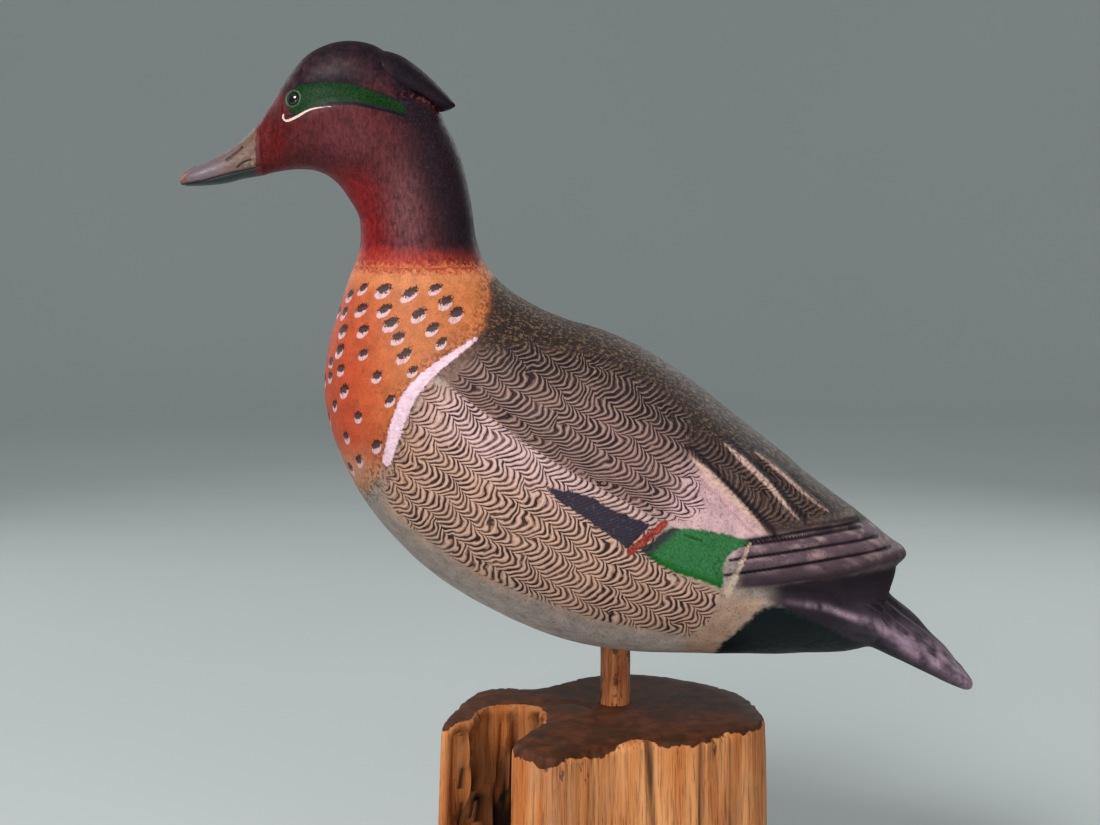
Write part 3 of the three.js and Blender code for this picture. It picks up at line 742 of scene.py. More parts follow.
def head_ground(p):
    """The head's soft-edged paint under the marks."""
    y, h = p[:, 1], p[:, 2]
    coarse = layered_noise(p, 14, 51)
    fine = layered_noise(p, 4, 61)
    flecks = layered_noise(p, 2, 71, 2)
    # a painted sheen, dusty mauve, on the side of the neck
    neck = bump(y + 84, 10) * bump(h - 206, 20)
    paint = blend(colour(84, 30, 32), colour(134, 88, 92), 0.45 * neck)
    # red-brown at the front of the neck and by the bill, near black down the nape
    nape = smooth(y + 0.35 * (h - 200) + 4 * coarse, -84, -64)
    paint = blend(paint, colour(34, 22, 30), nape)
    front = smooth(-(y + 0.2 * (h - 200)) + 3 * coarse, 86, 103)
    paint = blend(paint, colour(126, 24, 26), front * (1 - smooth(h, 214, 226)))
    # a painted highlight on the cheek's bulge
    cheek = bump(y + 108, 15) * bump(h - 234, 8)
    paint = blend(paint, colour(104, 52, 58), 0.55 * cheek)
    face = smooth(-y + 2 * coarse, 126, 136) * smooth(-h, -244, -236)
    paint = blend(paint, colour(92, 22, 22), face)
    crown = smooth(h - 0.10 * (y + 110) + 1.2 * fine, 252, 257)
    speckled = smooth(fine + flecks * 0.7, 0.1, 1.0) * 0.5
    paint = blend(paint, blend(colour(24, 14, 23), colour(68, 40, 47), speckled), crown)
    # a painted sheen along the brow above the eye patch
    brow_sheen = bump(BROW.measure(y, h)[0], 4.5) * smooth(fine + flecks, -0.9, 0.4)
    paint = blend(paint, colour(100, 62, 64), 0.28 * brow_sheen)
    crest = smooth(y, -95, -84) * smooth(h, 238, 246)
    paint = blend(paint, colour(24, 16, 26), crest * 0.9)
    # a bright band of red where the neck meets the breast
    ring = smooth(-h + 2.5 * fine, -193, -186) * (1 - 0.55 * nape)
    paint = blend(paint, colour(170, 56, 44), 0.85 * ring)
    return blend(paint, paint * 0.72, smooth(fine + 0.5 * flecks, 0.1, 1.0) * 0.6)


def paint_head(mesh):
    """Store what the head material reads."""
    p = vertex_points(mesh)
    x, y, h = np.abs(p[:, 0]), p[:, 1], p[:, 2]
    store(mesh, "ground", head_ground(p))
    over_top = np.where(x > 4, 0, (4 - x) * 3)      # keeps the side marks off the crown
    patch = EYE_PATCH.area(y, h)
    cream = line_edge(CREAM_LINE, y, h, (0.34, 0.45, 0.5, 0.45, 0.36, 0.3, 0.22, 0.1))
    below = line_edge(PATCH_SHADOW, y, h, (0.3, 0.55, 0.6, 0.6, 0.6, 0.5, 0.35))
    store(mesh, "marks_a", *(mark + over_top for mark in (patch, cream, below)))
    groove = bump(CREST_GROOVE.measure(y, h)[0], 1.3) * smooth(y, -94, -82)
    store(mesh, "zones", h, groove, 0 * h)


def paint_bill(mesh):
    """Store what the bill material reads."""
    p = vertex_points(mesh)
    y, h = p[:, 1], p[:, 2]
    nostril = NOSTRIL.measure(y, h)[0]
    streak = BILL_STREAK.measure(y, h)[0] + 0.15
    store(mesh, "marks_a", MOUTH.over(y, h)[0], np.minimum(nostril, streak), y)
    # where a painted highlight falls by the bill's base
    base = bump(np.hypot(y + 147, h - 224), 4)
    joint = y + 143.9 - 0.042 * (h - 240.4)
    store(mesh, "zones", joint, base, h)


# ------------------------------------------------------------------------------------
# Material nodes

class Value:
    """What a node gives, with the usual signs for sums on it."""

    def __init__(self, shader, socket):
        self.shader, self.socket = shader, socket

    def __add__(self, other):
        return self.shader.math("ADD", self, other)

    def __sub__(self, other):
        return self.shader.math("SUBTRACT", self, other)

    def __rsub__(self, other):
        return self.shader.math("SUBTRACT", other, self)

    def __mul__(self, other):
        return self.shader.math("MULTIPLY", self, other)

    def __truediv__(self, other):
        return self.shader.math("DIVIDE", self, other)

    def __abs__(self):
        return self.shader.math("ABSOLUTE", self)


class Shader:
    """A material and short calls for the nodes in it. Lengths are in mm."""

    def __init__(self, name):
        self.material = bpy.data.materials.new(name)
        self.material.use_nodes = True
        self.tree = self.material.node_tree
        self.surface = self.tree.nodes["Principled BSDF"]
        place = Value(self, self.add("ShaderNodeTexCoord").outputs["Object"])
        self.place = self.stretched(place, (1 / MM,) * 3)

    def add(self, kind, **settings):
        node = self.tree.nodes.new(kind)
        for key, value in settings.items():
            setattr(node, key, value)
        return node

    def put(self, socket, value):
        if isinstance(value, Value):
            self.tree.links.new(value.socket, socket)
        elif socket.type == "RGBA":
            socket.default_value = (*value, 1)
        else:
            socket.default_value = value

    def fed(self, node, inputs, values, output=0):
        """A node's output once values are put in its inputs."""
        for socket, value in zip(inputs, values):
            self.put(socket, value)
        return Value(self, node.outputs[output])

    def math(self, operation, *values):
        node = self.add("ShaderNodeMath", operation=operation)
        return self.fed(node, node.inputs, values)

    def stretched(self, place, factors):
        node = self.add("ShaderNodeVectorMath", operation="MULTIPLY")
        return self.fed(node, node.inputs, (place, factors))

    def noise(self, size, detail=3.0, rough=0.55, place=None, stretch=None):
        """Noise from 0 to 1 with bumps of about `size` mm."""
        place = self.place if place is None else place
        if stretch is not None:
            place = self.stretched(place, stretch)
        node = self.add("ShaderNodeTexNoise")
        inputs = [node.inputs[name] for name in ("Vector", "Scale", "Detail", "Roughness")]
        return self.fed(node, inputs, (place, 1 / size, detail, rough), "Fac")

    def random(self, value):
        node = self.add("ShaderNodeTexWhiteNoise", noise_dimensions="1D")
        return self.fed(node, [node.inputs["W"]], [value], "Value")

    def stored(self, name):
        """The three numbers stored under a name at each vertex."""
        node = self.add("ShaderNodeSeparateXYZ")
        vector = self.add("ShaderNodeAttribute", attribute_name=name).outputs["Vector"]
        self.tree.links.new(vector, node.inputs[0])
        return [Value(self, output) for output in node.outputs]

    def ground(self, tone):
        """The stored ground colour, made lighter or darker by a tone."""
        vector = self.add("ShaderNodeAttribute", attribute_name="ground").outputs["Vector"]
        return self.shade(Value(self, vector), tone)

    def join(self, x, y, z):
        node = self.add("ShaderNodeCombineXYZ")
        return self.fed(node, node.inputs, (x, y, z))

    def step(self, value, low, high, to_low=0.0, to_high=1.0):
        """A smooth step: to_low below low, to_high above high."""
        node = self.add("ShaderNodeMapRange", interpolation_type="SMOOTHSTEP")
        return self.fed(node, node.inputs, (value, low, high, to_low, to_high))

    def mix(self, weight, under, over, blend_type="MIX"):
        node = self.add("ShaderNodeMix", data_type="RGBA", blend_type=blend_type)
        inputs = (node.inputs["Factor"], node.inputs[6], node.inputs[7])      # 6, 7: colours
        return self.fed(node, inputs, (weight, under, over), 2)

    def shade(self, paint, tone):
        return self.mix(1.0, paint, self.join(tone, tone, tone), "MULTIPLY")

    def brushed(self, edge, wobble=0.6, size=1.2, soft=0.25, shift=0.0):
        """A painted area from its signed edge distance, with a slightly ragged edge."""
        edge = (self.noise(size, 2.0) - 0.5) * (2 * wobble) + edge
        return self.step(edge, shift + soft, shift - soft)

    def finish(self, paint, rough, height=None, depth=0.2, **fixed):
        self.put(self.surface.inputs["Base Color"], paint)
        self.put(self.surface.inputs["Roughness"], rough)
        if height is not None:
            node = self.add("ShaderNodeBump")
            node.inputs["Strength"].default_value = 1.0
            node.inputs["Distance"].default_value = depth * MM
            self.put(node.inputs["Height"], height)
            self.tree.links.new(node.outputs[0], self.surface.inputs["Normal"])
        for name, value in fixed.items():
            socket = name.replace("_", " ").title().replace("Ior", "IOR")
            self.surface.inputs[socket].default_value = value
        return self.material


def combing(s, along, across, strength):
    """Rows of arcs left by a comb: how dark the scratched lines are, where the raised paint
    between them gets a painted highlight, and a darker brown round the lines.
    """
    warp = s.noise(15, 2.0) - 0.5
    row = (warp * 13.0 + across + along * 0.05) / COMB_ROW
    place = s.math("FRACT", row)
    arc = place * (1.0 - place) * 4.0
    # just above the carved ridge the strokes sweep along it
    sweep = s.math("MINIMUM", s.math("EXPONENT", across / -6.5), 1.0)
    sweep = sweep * s.math("GREATER_THAN", across, 0.0)
    phase = along - arc * COMB_SWING - place * 1.6 + sweep * 14.0 + warp * 7.0
    # finer towards the breast
    crowding = s.math("EXPONENT", along / -32) * 9.0
    phase = phase / COMB_PITCH - crowding + s.random(s.math("FLOOR", row))
    line = abs(s.math("FRACT", phase) - 0.5)
    edge = strength * 0.1 + s.step(s.noise(6, 3.0), 0.3, 0.7, -0.01, 0.13)
    edge = edge + (s.noise(0.7, 2.0) - 0.5) * 0.12
    combed = s.step(strength, 0.02, 0.35)
    broken = s.step(s.noise(3.2, 3.0), 0.31, 0.42, 0.25, 1.0)
    tones = s.step(s.noise(9, 2.0), 0.32, 0.6, 0.72, 1.0)
    lines = s.step(line, edge + 0.06, edge - 0.06) * broken * tones * combed
    # the raised paint between the lines, which gets a painted highlight
    highlit_ridges = s.step(line, 0.3, 0.46) * strength
    # a darker brown round the scratches, in patches
    line_halo = s.step(s.noise(2.2, 4.0, 0.7), 0.4, 0.62, 0.1, 0.75)
    line_halo = line_halo * s.step(line, 0.42, 0.12) * combed
    return lines, highlit_ridges, line_halo


def oval(s, right, up, middle, wide, high):
    """Under 0 inside an oval, in units of its size."""
    up = (up - middle) / high
    right = right / wide
    return s.math("SQRT", right * right + up * up) - 1.0


def breast_spots(s, right, up, which):
    """A ragged dark tuft over a streaky pale scallop, round each spot's centre."""
    # only where the number is whole: elsewhere two spots' places are being mixed
    number = s.math("ROUND", which)
    whole = s.step(abs(which - number), 0.03, 0.01)
    size = s.random(number) * 0.3 + 0.8
    right, up = right / size, up / size
    lean = s.random(number + 17.3) * 0.3 + 0.12
    leaned = up - lean * right
    hair = s.noise(0.4, 2.0, 0.6, place=s.join(right, up * 0.14, number))
    hair = (hair - 0.5) * 2.0
    patch = s.noise(0.8, 2.0, 0.6, place=s.join(right, up, number))
    ragged = hair * 0.62 + s.step(patch, 0.35, 0.65, -0.22, 0.22)
    tuft = oval(s, right, leaned, 0.95, 2.35, 1.85) + ragged
    scallop = oval(s, right, leaned, -0.85, 2.45, 2.15) + hair * 0.22
    streaks = s.step(hair, 0.45, -0.05, 0.35, 1.0) * whole
    return s.step(tuft, 0.10, -0.10) * whole, s.step(scallop, 0.12, -0.12) * streaks


def body_material():
    """Paint over the stored ground, one mark after another."""
    s = Shader("painted_body")
    bar, slate, red = s.stored("marks_a")
    green, cream, undertail = s.stored("marks_b")
    along, across, strength = s.stored("comb")
    shafts, cuts, quills = s.stored("feather")
    back, breast, height_up = s.stored("zones")
    grain = s.noise(0.7, 4.0, 0.65)
    patchy = s.noise(5, 3.0)
    ragged = s.noise(1.6, 4.0, 0.65)
    paint = s.ground((grain * 0.9 + 0.55) * s.step(patchy, 0.3, 0.7, 0.86, 1.1))
    on_breast = s.step((ragged - 0.5) * 16 + breast, 2.5, -2.5)
    # dark, broken ochre flecks over the back
    flecks = s.noise(1.5, 4.0, 0.7, stretch=(1, 0.8, 1.2))
    worn = s.mix(s.step(flecks, 0.50, 0.62), colour(34, 25, 24), colour(134, 102, 70))
    paint = s.mix(back * 0.62, paint, worn)
    lines, highlit_ridges, line_halo = combing(s, along, across, strength)
    off_breast = 1.0 - on_breast
    lines = lines * off_breast
    # a painted highlight on the raised paint between the combed lines
    paint = s.mix(highlit_ridges * s.step(across, -1, 4, 0.42, 0.24), paint, colour(226, 194, 186))
    paint = s.mix(line_halo * off_breast, paint, colour(88, 62, 52))
    paint = s.mix(lines * 0.96, paint, colour(26, 20, 27))
    # fine dark mottling where there is no combing
    uncombed = s.step(strength, 0.6, 0.0, 0.0, 0.42) * s.step(on_breast, 0.0, 1.0, 1.0, 0.6)
    mottle = s.step(s.noise(1.3, 4.0, 0.72), 0.53, 0.64) * uncombed
    paint = s.mix(mottle, paint, colour(46, 36, 34))
    # the breast's rear edge breaks up over the shoulder
    smear = s.step(abs(breast), 9, 1, 0.0, 0.75) * s.step(along, 70, 40)
    paint = s.mix(smear * s.step(ragged, 0.47, 0.56), paint, colour(72, 48, 36))
    # long feathers
    streak = s.noise(0.8, 4.0, 0.7, stretch=(1, 0.3, 0.6))
    shaft = s.brushed(shafts, 0.7, 1.2, 0.6) * s.step(streak, 0.3, 0.5, 0.4, 1)
    pale = s.mix(streak, colour(170, 124, 96), colour(240, 206, 196))
    paint = s.mix(shaft * 0.92, paint, pale)
    cut = s.step(cuts, 1.5, 0.3, 0.0, 0.9) * s.step(s.noise(4, 2.0), 0.3, 0.5, 0.7, 1.0)
    paint = s.mix(cut, paint, colour(34, 25, 31))
    paint = s.mix(s.step(quills, 1.0, 0.3, 0.0, 0.95), paint, colour(16, 11, 14))
    # slate wing patch with fine arcs
    arcs = s.math("FRACT", (across * across * 0.05 + along) / 1.7)
    arcs = s.step(arcs, 0.25, 0.6) * s.step(arcs, 1.0, 0.7)
    slate_paint = s.mix(arcs * 0.16, colour(42, 34, 46), colour(92, 80, 96))
    slate_paint = s.mix(s.step(ragged, 0.56, 0.66, 0, 0.4), slate_paint, colour(96, 84, 98))
    paint = s.mix(s.brushed(slate, 1.6, 2.2, 0.45), paint, slate_paint)
    # wing bars
    brush = s.noise(0.9, 4.0, 0.7)
    green_paint = s.mix(s.step(brush, 0.2, 0.8), colour(14, 84, 28), colour(66, 126, 78))
    low_edge = s.step(green, -3.0, -0.6) * s.step(across, -5, -14)
    green_paint = s.mix(low_edge, green_paint, colour(4, 96, 22))
    upper_dark = s.step(ragged, 0.52, 0.62, 0, 0.5) * s.step(green, -7, -1)
    green_paint = s.mix(upper_dark, green_paint, colour(34, 46, 40))
    near_red = s.step((ragged - 0.5) * 6 + red, 6.0, 2.5)
    green_paint = s.mix(near_red * 0.92, green_paint, colour(50, 42, 50))
    paint = s.mix(s.brushed(green, 1.1, 1.8, 0.6, 0.4), paint, green_paint)
    cream_mask = s.brushed(cream, 1.3, 1.3, 0.5) * s.step(brush, 0.35, 0.5)
    paint = s.mix(cream_mask * 0.8, paint, colour(206, 178, 156))
    red_paint = s.mix(s.step(brush, 0.35, 0.65), colour(116, 34, 28), colour(176, 76, 62))
    paint = s.mix(s.brushed(red, 0.9, 1.0, 0.4), paint, red_paint)
    tail_paint = s.mix(patchy, colour(1, 8, 11), colour(4, 22, 26))
    paint = s.mix(s.brushed(undertail, 2.2, 2.6, 1.2), paint, tail_paint)
    # white bar ahead of the wing
    bar_mask = s.brushed(bar, 1.0, 1.4, 0.4)
    bar_paint = s.mix(s.step(streak, 0.3, 0.7), colour(206, 168, 182), colour(236, 204, 216))
    paint = s.mix(bar_mask * s.step(ragged, 0.28, 0.4, 0.85, 1.0), paint, bar_paint)
    # breast spots
    dark, pale = breast_spots(s, *s.stored("spot"))
    paint = s.mix(pale * 0.85, paint, colour(218, 184, 190))
    paint = s.mix(dark * 0.93, paint, colour(38, 26, 28))
    # red brushed down from the neck
    neck = s.step((ragged - 0.5) * 14 + height_up, 179.5, 184.0)
    paint = s.mix(neck, paint, s.mix(grain, colour(132, 36, 30), colour(176, 66, 50)))
    height = (grain * 0.3 - lines * 1.5 + highlit_ridges * 0.25 + bar_mask * 0.4 + pale * 0.3
              + flecks * back * 0.8)
    rough = s.step(s.noise(2.5, 3.0), 0.3, 0.7, 0.42, 0.58)
    return s.finish(paint, rough, height, 0.45, ior=1.45, specular_ior_level=0.18)


def head_material():
    s = Shader("painted_head")
    patch, cream, below = s.stored("marks_a")
    height_up, crest, _ = s.stored("zones")
    grain = s.noise(0.6, 4.0, 0.65)
    strokes = s.noise(1.1, 4.0, 0.65, stretch=(1, 1, 0.35))
    ragged = s.noise(1.6, 4.0, 0.65)
    paint = s.ground((grain * 0.8 + 0.58) * s.step(strokes, 0.32, 0.68, 0.6, 1.25))
    # pale flecks, fewest on the neck and the crown, and dark blotches
    lift = s.step(height_up, 184, 240, 0.5, 1.0) * s.step(height_up, 246, 260, 1.0, 0.35)
    lift = s.step(s.noise(1.0, 4.0, 0.75), 0.55, 0.68, 0.0, 0.34) * lift
    paint = s.mix(lift, paint, colour(116, 74, 78))
    deep = s.step(s.noise(3.5, 4.0, 0.6), 0.52, 0.66, 0.0, 0.45)
    paint = s.mix(deep, paint, colour(40, 20, 24))
    paint = s.mix(s.step(ragged, 0.48, 0.58) * crest, paint, colour(112, 52, 50))
    # eye patch with its dark rim, and the cream line under it
    paint = s.mix(s.brushed(patch, 0.35, 0.9, 0.25, 0.5) * 0.8, paint, colour(20, 14, 24))
    paint = s.mix(s.brushed(below, 0.2, 0.9, 0.2), paint, colour(16, 11, 26))
    brush = s.noise(0.7, 4.0, 0.7)
    green = s.mix(s.step(brush, 0.38, 0.66), colour(0, 28, 3), colour(14, 62, 18))
    paint = s.mix(s.brushed(patch, 0.4, 0.8, 0.2), paint, green)
    cream_mask = s.brushed(cream, 0.12, 0.8, 0.12)
    paint = s.mix(cream_mask, paint, s.mix(grain, colour(196, 160, 146), colour(238, 214, 200)))
    # the breast's orange comes a little way up the neck
    breast = s.step(height_up - (ragged - 0.5) * 14, 186.0, 181.0)
    orange = s.mix(grain, colour(178, 88, 50), colour(214, 126, 78))
    paint = s.mix(breast, paint, orange)
    height = grain * 0.4 + strokes * 0.5 + cream_mask * 0.5
    rough = s.step(s.noise(2.5, 3.0), 0.3, 0.7, 0.36, 0.50)
    return s.finish(paint, rough, height, 0.25, ior=1.45, specular_ior_level=0.14)


def bill_material():
    s = Shader("painted_bill")
    mouth, nostril, y = s.stored("marks_a")
    joint, base, height_up = s.stored("zones")
    grain = s.noise(1.0, 4.0, 0.65, stretch=(1, 0.4, 1))
    side = s.mix(s.step(y, -168, -150), colour(100, 84, 94), colour(106, 80, 68))
    side = s.mix(s.step(y, -171, -175), side, colour(124, 78, 66))
    # a pale painted highlight by the bill's base, in patches
    side = s.mix(base * s.step(s.noise(2.0, 3.0), 0.45, 0.6), side, colour(150, 120, 102))
    paint = s.shade(side, grain * 0.6 + 0.7)
    # below the mouth line: painted shade on the lower mandible, with a teal cast as painted
    # reflected light
    paint = s.mix(s.step(mouth, 0.3, -0.5), paint, colour(34, 50, 48))
    paint = s.mix(s.step(abs(mouth), 0.5, 0.15), paint, colour(24, 18, 20))
    paint = s.mix(s.step(nostril, 0.75, 0.35), paint, colour(26, 19, 20))
    streaks = s.step(s.noise(1.6, 3.0, stretch=(1, 0.3, 1)), 0.60, 0.68, 0.0, 0.6)
    paint = s.mix(streaks, paint, colour(64, 46, 44))
    rough = s.step(s.noise(2.0, 3.0), 0.3, 0.7, 0.36, 0.52)
    # the face's red runs a little way on to the bill, more at the top
    run = s.noise(2.2, 4.0, 0.65) * 3.6 + joint
    run = s.step(height_up, 232, 240) + run
    red = s.mix(grain, colour(66, 24, 22), colour(104, 36, 32))
    paint = s.mix(s.step(run, 0.7, 1.5), paint, red)
    return s.finish(paint, rough, grain, 0.12, ior=1.45, specular_ior_level=0.35)


def wood_material(name, dark, light, stretch, size=1.6, roughness=(0.5, 0.7), stain=None):
    """Bare or stained wood whose grain runs along one axis."""
    s = Shader(name)
    grain = s.noise(size, 5.0, 0.6, stretch=stretch)
    rings = s.noise(size * 3, 2.0, 0.5, stretch=stretch)
    paint = s.mix(s.step(grain, 0.3, 0.7), colour(*dark), colour(*light))
    paint = s.mix(s.step(rings, 0.35, 0.65, 0.35, 0.0), paint, colour(*dark))
    if stain is not None:
        mask = s.step(s.noise(7, 4.0, 0.65, stretch=(1, 1, 0.45)), 0.50, 0.56, 0.0, 0.8)
        paint = s.mix(mask, paint, colour(*stain))
    rough = s.step(grain, 0.2, 0.8, roughness[1], roughness[0])
    return s.finish(paint, rough, grain, 0.18, specular_ior_level=0.3)


def steel_material():
    s = Shader("zinc_plate")
    grain = s.noise(0.6, 3.0)
    paint = s.mix(grain, colour(150, 150, 156), colour(204, 204, 206))
    return s.finish(paint, s.step(grain, 0.2, 0.8, 0.28, 0.42), grain, 0.03, metallic=1.0)


def putty_material():
    s = Shader("painted_putty")
    grain = s.noise(0.5, 4.0)
    paint = s.mix(s.step(grain, 0.35, 0.65), colour(10, 40, 14), colour(44, 88, 48))
    return s.finish(paint, s.step(grain, 0.3, 0.7, 0.4, 0.55), grain, 0.08)


def eye_material():
    s = Shader("black_glass")
    depth = s.noise(1.2, 2.0)
    paint = s.mix(depth, colour(4, 3, 4), colour(16, 12, 11))
    rough = s.step(s.noise(0.8, 2.0), 0.3, 0.7, 0.03, 0.07)
    return s.finish(paint, rough, coat_weight=0.6, coat_roughness=0.02, ior=1.5)


# ------------------------------------------------------------------------------------
# The bird's pieces

def thinned(row):
    """A station moved in by the wall's thickness."""
    inward = row[:2] - row[2:4]
    inward = inward / np.linalg.norm(inward) * WALL
    return np.array([*(row[:2] - inward), *(row[2:4] + inward), row[4] - WALL, *row[5:]])


def above_post(node):
    """A CAD node's corners in mm, heights above the post."""
    low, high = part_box(node)
    return [np.array(corner) / MM - np.array([0, 0, POST_TOP]) for corner in (low, high)]


def relief(points):
    """The body's relief, running into the head's up the neck."""
    on_head = smooth(points[:, 2], 192, 204)
    return body_relief(points) * (1 - on_head) + head_relief(points) * on_head


def crest_grid():
    """Rings of the crest that overhangs the nape."""
    rows = between(CREST_STATIONS, np.linspace(0, len(CREST_STATIONS) - 1, 60))[::-1]
    angles = np.linspace(0, 2 * np.pi, 110, endpoint=False)
    y, middle, high, half = (rows[:, k:k + 1] for k in range(4))
    grid = np.stack([half * np.sin(angles), y + 0 * angles, middle - high * np.cos(angles)], -1)
    return carved(grid, head_relief)


def painted(piece, paint):
    """Give a piece one material."""
    piece.data.materials.clear()
    piece.data.materials.append(paint)
    return piece


def bores(nodes, direction, reach, radius):
    """A bore each way from the middle of each of these CAD nodes."""
    found = []
    for node in nodes:
        middle = sum(above_post(node)) / 2
        found.append(rod("bore", middle - direction * reach, middle + direction * reach, radius))
    return found


def make_cutters(wood):
    """What is bored or sawn out of the bird, by name."""
    ends = ("front", "rear")
    seam_normal = np.array([0, math.sin(SEAM_TILT), math.cos(SEAM_TILT)])
    up = np.array([0, 0, 1])
    hollow = loft(np.array([thinned(row) for row in BODY_STATIONS[10:20]]), 4, 64)
    screw_low, screw_high = above_post("neck_screw")
    screw_y = (screw_low[1] + screw_high[1]) / 2
    washer_top = above_post("neck_washer")[1][2]
    block_low, block_high = above_post("stick_block")
    block_screws = []
    for end in ends:
        low, high = above_post("stick_block_screw_" + end)
        x, y = (low[:2] + high[:2]) / 2
        top, radius = BLOCK_SCREW_BORE
        block_screws.append(rod("bore", (x, y, low[2] - PLAY), (x, y, top), radius))
    cutters = {
        "hollow": [add_object("hollow", skin_mesh("hollow", hollow))],
        "stick": [rod("bore", (0, 0, STICK_FOOT), (0, 0, STICK_TOP + PLAY), HOLE_RADIUS, 64)],
        "body_pins": bores([f"body_pin_{end}_{side}" for end in ends for side in
                            ("left", "right")], seam_normal, *BODY_PIN_BORE),
        "neck_pins": bores(["neck_pin_" + end for end in ends], up, *NECK_PIN_BORE),
        "block_screws": block_screws,
        "washer_seat": [rod("bore", (0, screw_y, WASHER_SEAT[0]),
                            (0, screw_y, washer_top + PLAY), WASHER_SEAT[1])],
        "neck_screw": [rod("bore", (0, screw_y, washer_top - 1),
                           (0, screw_y, screw_high[2] + PLAY), NECK_SCREW_BORE)],
        "block": [block("block_pocket", block_low - PLAY, block_high + [PLAY, PLAY, 0.2])],
    }
    for group in cutters.values():
        for cutter in group:
            painted(cutter, wood)
    return cutters


def eye_frame(grid, side):
    """Where an eye sits on the carved skin, and the direction it looks."""
    flat = grid.reshape(-1, 3)
    normals = grid_normals(grid).reshape(-1, 3)
    left = flat[:, 0] > 5
    away = np.where(left, np.hypot(flat[:, 1] - EYE_AT[0], flat[:, 2] - EYE_AT[1]), FAR)
    best = np.argmin(away)
    mirror = np.array([side, 1, 1])
    return Vector(flat[best] * mirror), Vector(normals[best] * mirror)


def smoothed(piece, degrees=42):
    piece.data.polygons.foreach_set("use_smooth", [True] * len(piece.data.polygons))
    piece.data.set_sharp_from_angle(angle=math.radians(degrees))
    return piece


def copy_of(piece, name):
    return add_object(name, piece.data.copy())


def make_bird(paint, head_paint, bill_paint, wood):
    """The skin sawn along its seams into the CAD's pieces, the bill, and the eyes' places."""
    cutters = make_cutters(wood)
    grid = carved(loft(np.concatenate([BODY_STATIONS, HEAD_STATIONS]), 0.95, 340), relief)
    whole = painted(add_object("bird", skin_mesh("bird", grid)), paint)
    crest = painted(add_object("crest", skin_mesh("crest", crest_grid())), paint)
    boolean(whole, "UNION", crest)
    half_line = HAIRLINE / 2
    above_neck = painted(block("above_neck", (-200, -400, NECK_SEAM - half_line),
                               (200, 400, 600)), wood)
    below_neck = painted(block("below_neck", (-200, -400, -600),
                               (200, 400, NECK_SEAM + half_line)), wood)
    above_seam = painted(seam_block(1), wood)
    below_seam = painted(seam_block(-1), wood)
    head = copy_of(whole, "carved_head")
    upper = copy_of(whole, "carved_upper_body")
    lower = whole
    lower.name = "carved_lower_body"
    for piece, sawn, groups in (
            (head, [below_neck], ["neck_pins", "neck_screw"]),
            (upper, [above_neck, below_seam],
             ["hollow", "body_pins", "neck_pins", "washer_seat", "neck_screw"]),
            (lower, [above_neck, above_seam],
             ["hollow", "block", "stick", "body_pins", "block_screws", "washer_seat"])):
        boolean(piece, "DIFFERENCE", *sawn, *(tool for name in groups for tool in cutters[name]))
    bill = add_bill(head, bill_paint, wood)
    eyes = {side: eye_frame(grid, side) for side in (1, -1)}
    for point, normal in eyes.values():
        socket = painted(rod("socket", point - normal * SOCKET_DEPTH, point + normal * 4,
                             SOCKET_RADIUS), wood)
        boolean(head, "DIFFERENCE", socket)
        discard(socket)
    for index, slot in enumerate(head.data.materials):
        if slot == paint:
            head.data.materials[index] = head_paint
    on_left = nearest_on(SPOTS, grid, [1, 2], lambda flat: flat[:, 0] >= -1e-6)
    on_front = nearest_on(FRONT_SPOTS, grid, [0, 2], lambda flat: flat[:, 1] < BREAST_FRONT)
    centres = np.concatenate([on_left, on_front])
    for piece in (upper, lower):
        paint_body(piece.data, centres)
    paint_head(head.data)
    paint_bill(bill.data)
    for piece in (head, upper, lower, bill):
        smoothed(piece)
    discard(crest, above_neck, below_neck, above_seam, below_seam,
            *(cutter for group in cutters.values() for cutter in group))
    return {"head": head, "upper": upper, "lower": lower, "bill": bill, "eyes": eyes}


def add_bill(head, bill_paint, wood):
    """The bill with its tenon, let into the head's flat face and mortise."""
    grid = carved(loft(BILL_STATIONS, 0.4, 130), bill_relief)
    bill = painted(add_object("carved_bill", skin_mesh("carved_bill", grid)), bill_paint)
    high, low = BILL_STATIONS[0][:2], BILL_STATIONS[0][2:4]
    base = np.array([0, *((high + low) / 2)])
    rise = np.array([0, *(high - low)]) / np.linalg.norm(high - low)
    inward = np.array([0, rise[2], -rise[1]])
    length, radius = TENON
    tenon = painted(rod("tenon", base - inward * 3, base + inward * length, radius), wood)
    mortise = painted(rod("mortise", base - inward * 5, base + inward * (length + PLAY),
                          radius + PLAY), wood)
    half = Vector((30, 30, 30))
    front = Vector(base) + Vector(inward) * (BILL_GAP - half.y)
    tilt = Matrix.Rotation(math.asin(inward[2]), 4, "X")
    seat = painted(block("bill_seat", front - half, front + half, tilt), wood)
    boolean(bill, "UNION", tenon)
    boolean(head, "DIFFERENCE", seat, mortise)
    discard(tenon, mortise, seat)
    return bill


def turned(name, profile, point, normal, make_mesh, degrees):
    """A turned solid: rows of radius and height, height along the normal, in mm."""
    angles = np.linspace(0, 2 * np.pi, 56, endpoint=False)
    radii, heights = np.array(profile).T[:, :, None]
    rings = np.stack([radii * np.cos(angles), radii * np.sin(angles), heights + 0 * angles], -1)
    turn = np.array(Vector((0, 0, 1)).rotation_difference(normal).to_matrix())
    mesh = make_mesh(name, rings @ turn.T + np.array(point))
    return smoothed(add_object(name, mesh), degrees)


def glass_eye(name, point, normal):
    """A glass dome with a flat back."""
    edge = [(EYE_RADIUS - 0.1, -2), (EYE_RADIUS, -1.9), (EYE_RADIUS, -0.1)]
    dome = [(EYE_RADIUS * math.cos(a), EYE_BULGE * math.sin(a))
            for a in np.linspace(0.03, math.pi / 2 - 0.03, 14)]
    return turned(name, edge + dome, point - normal * 0.4, normal, skin_mesh, 35)


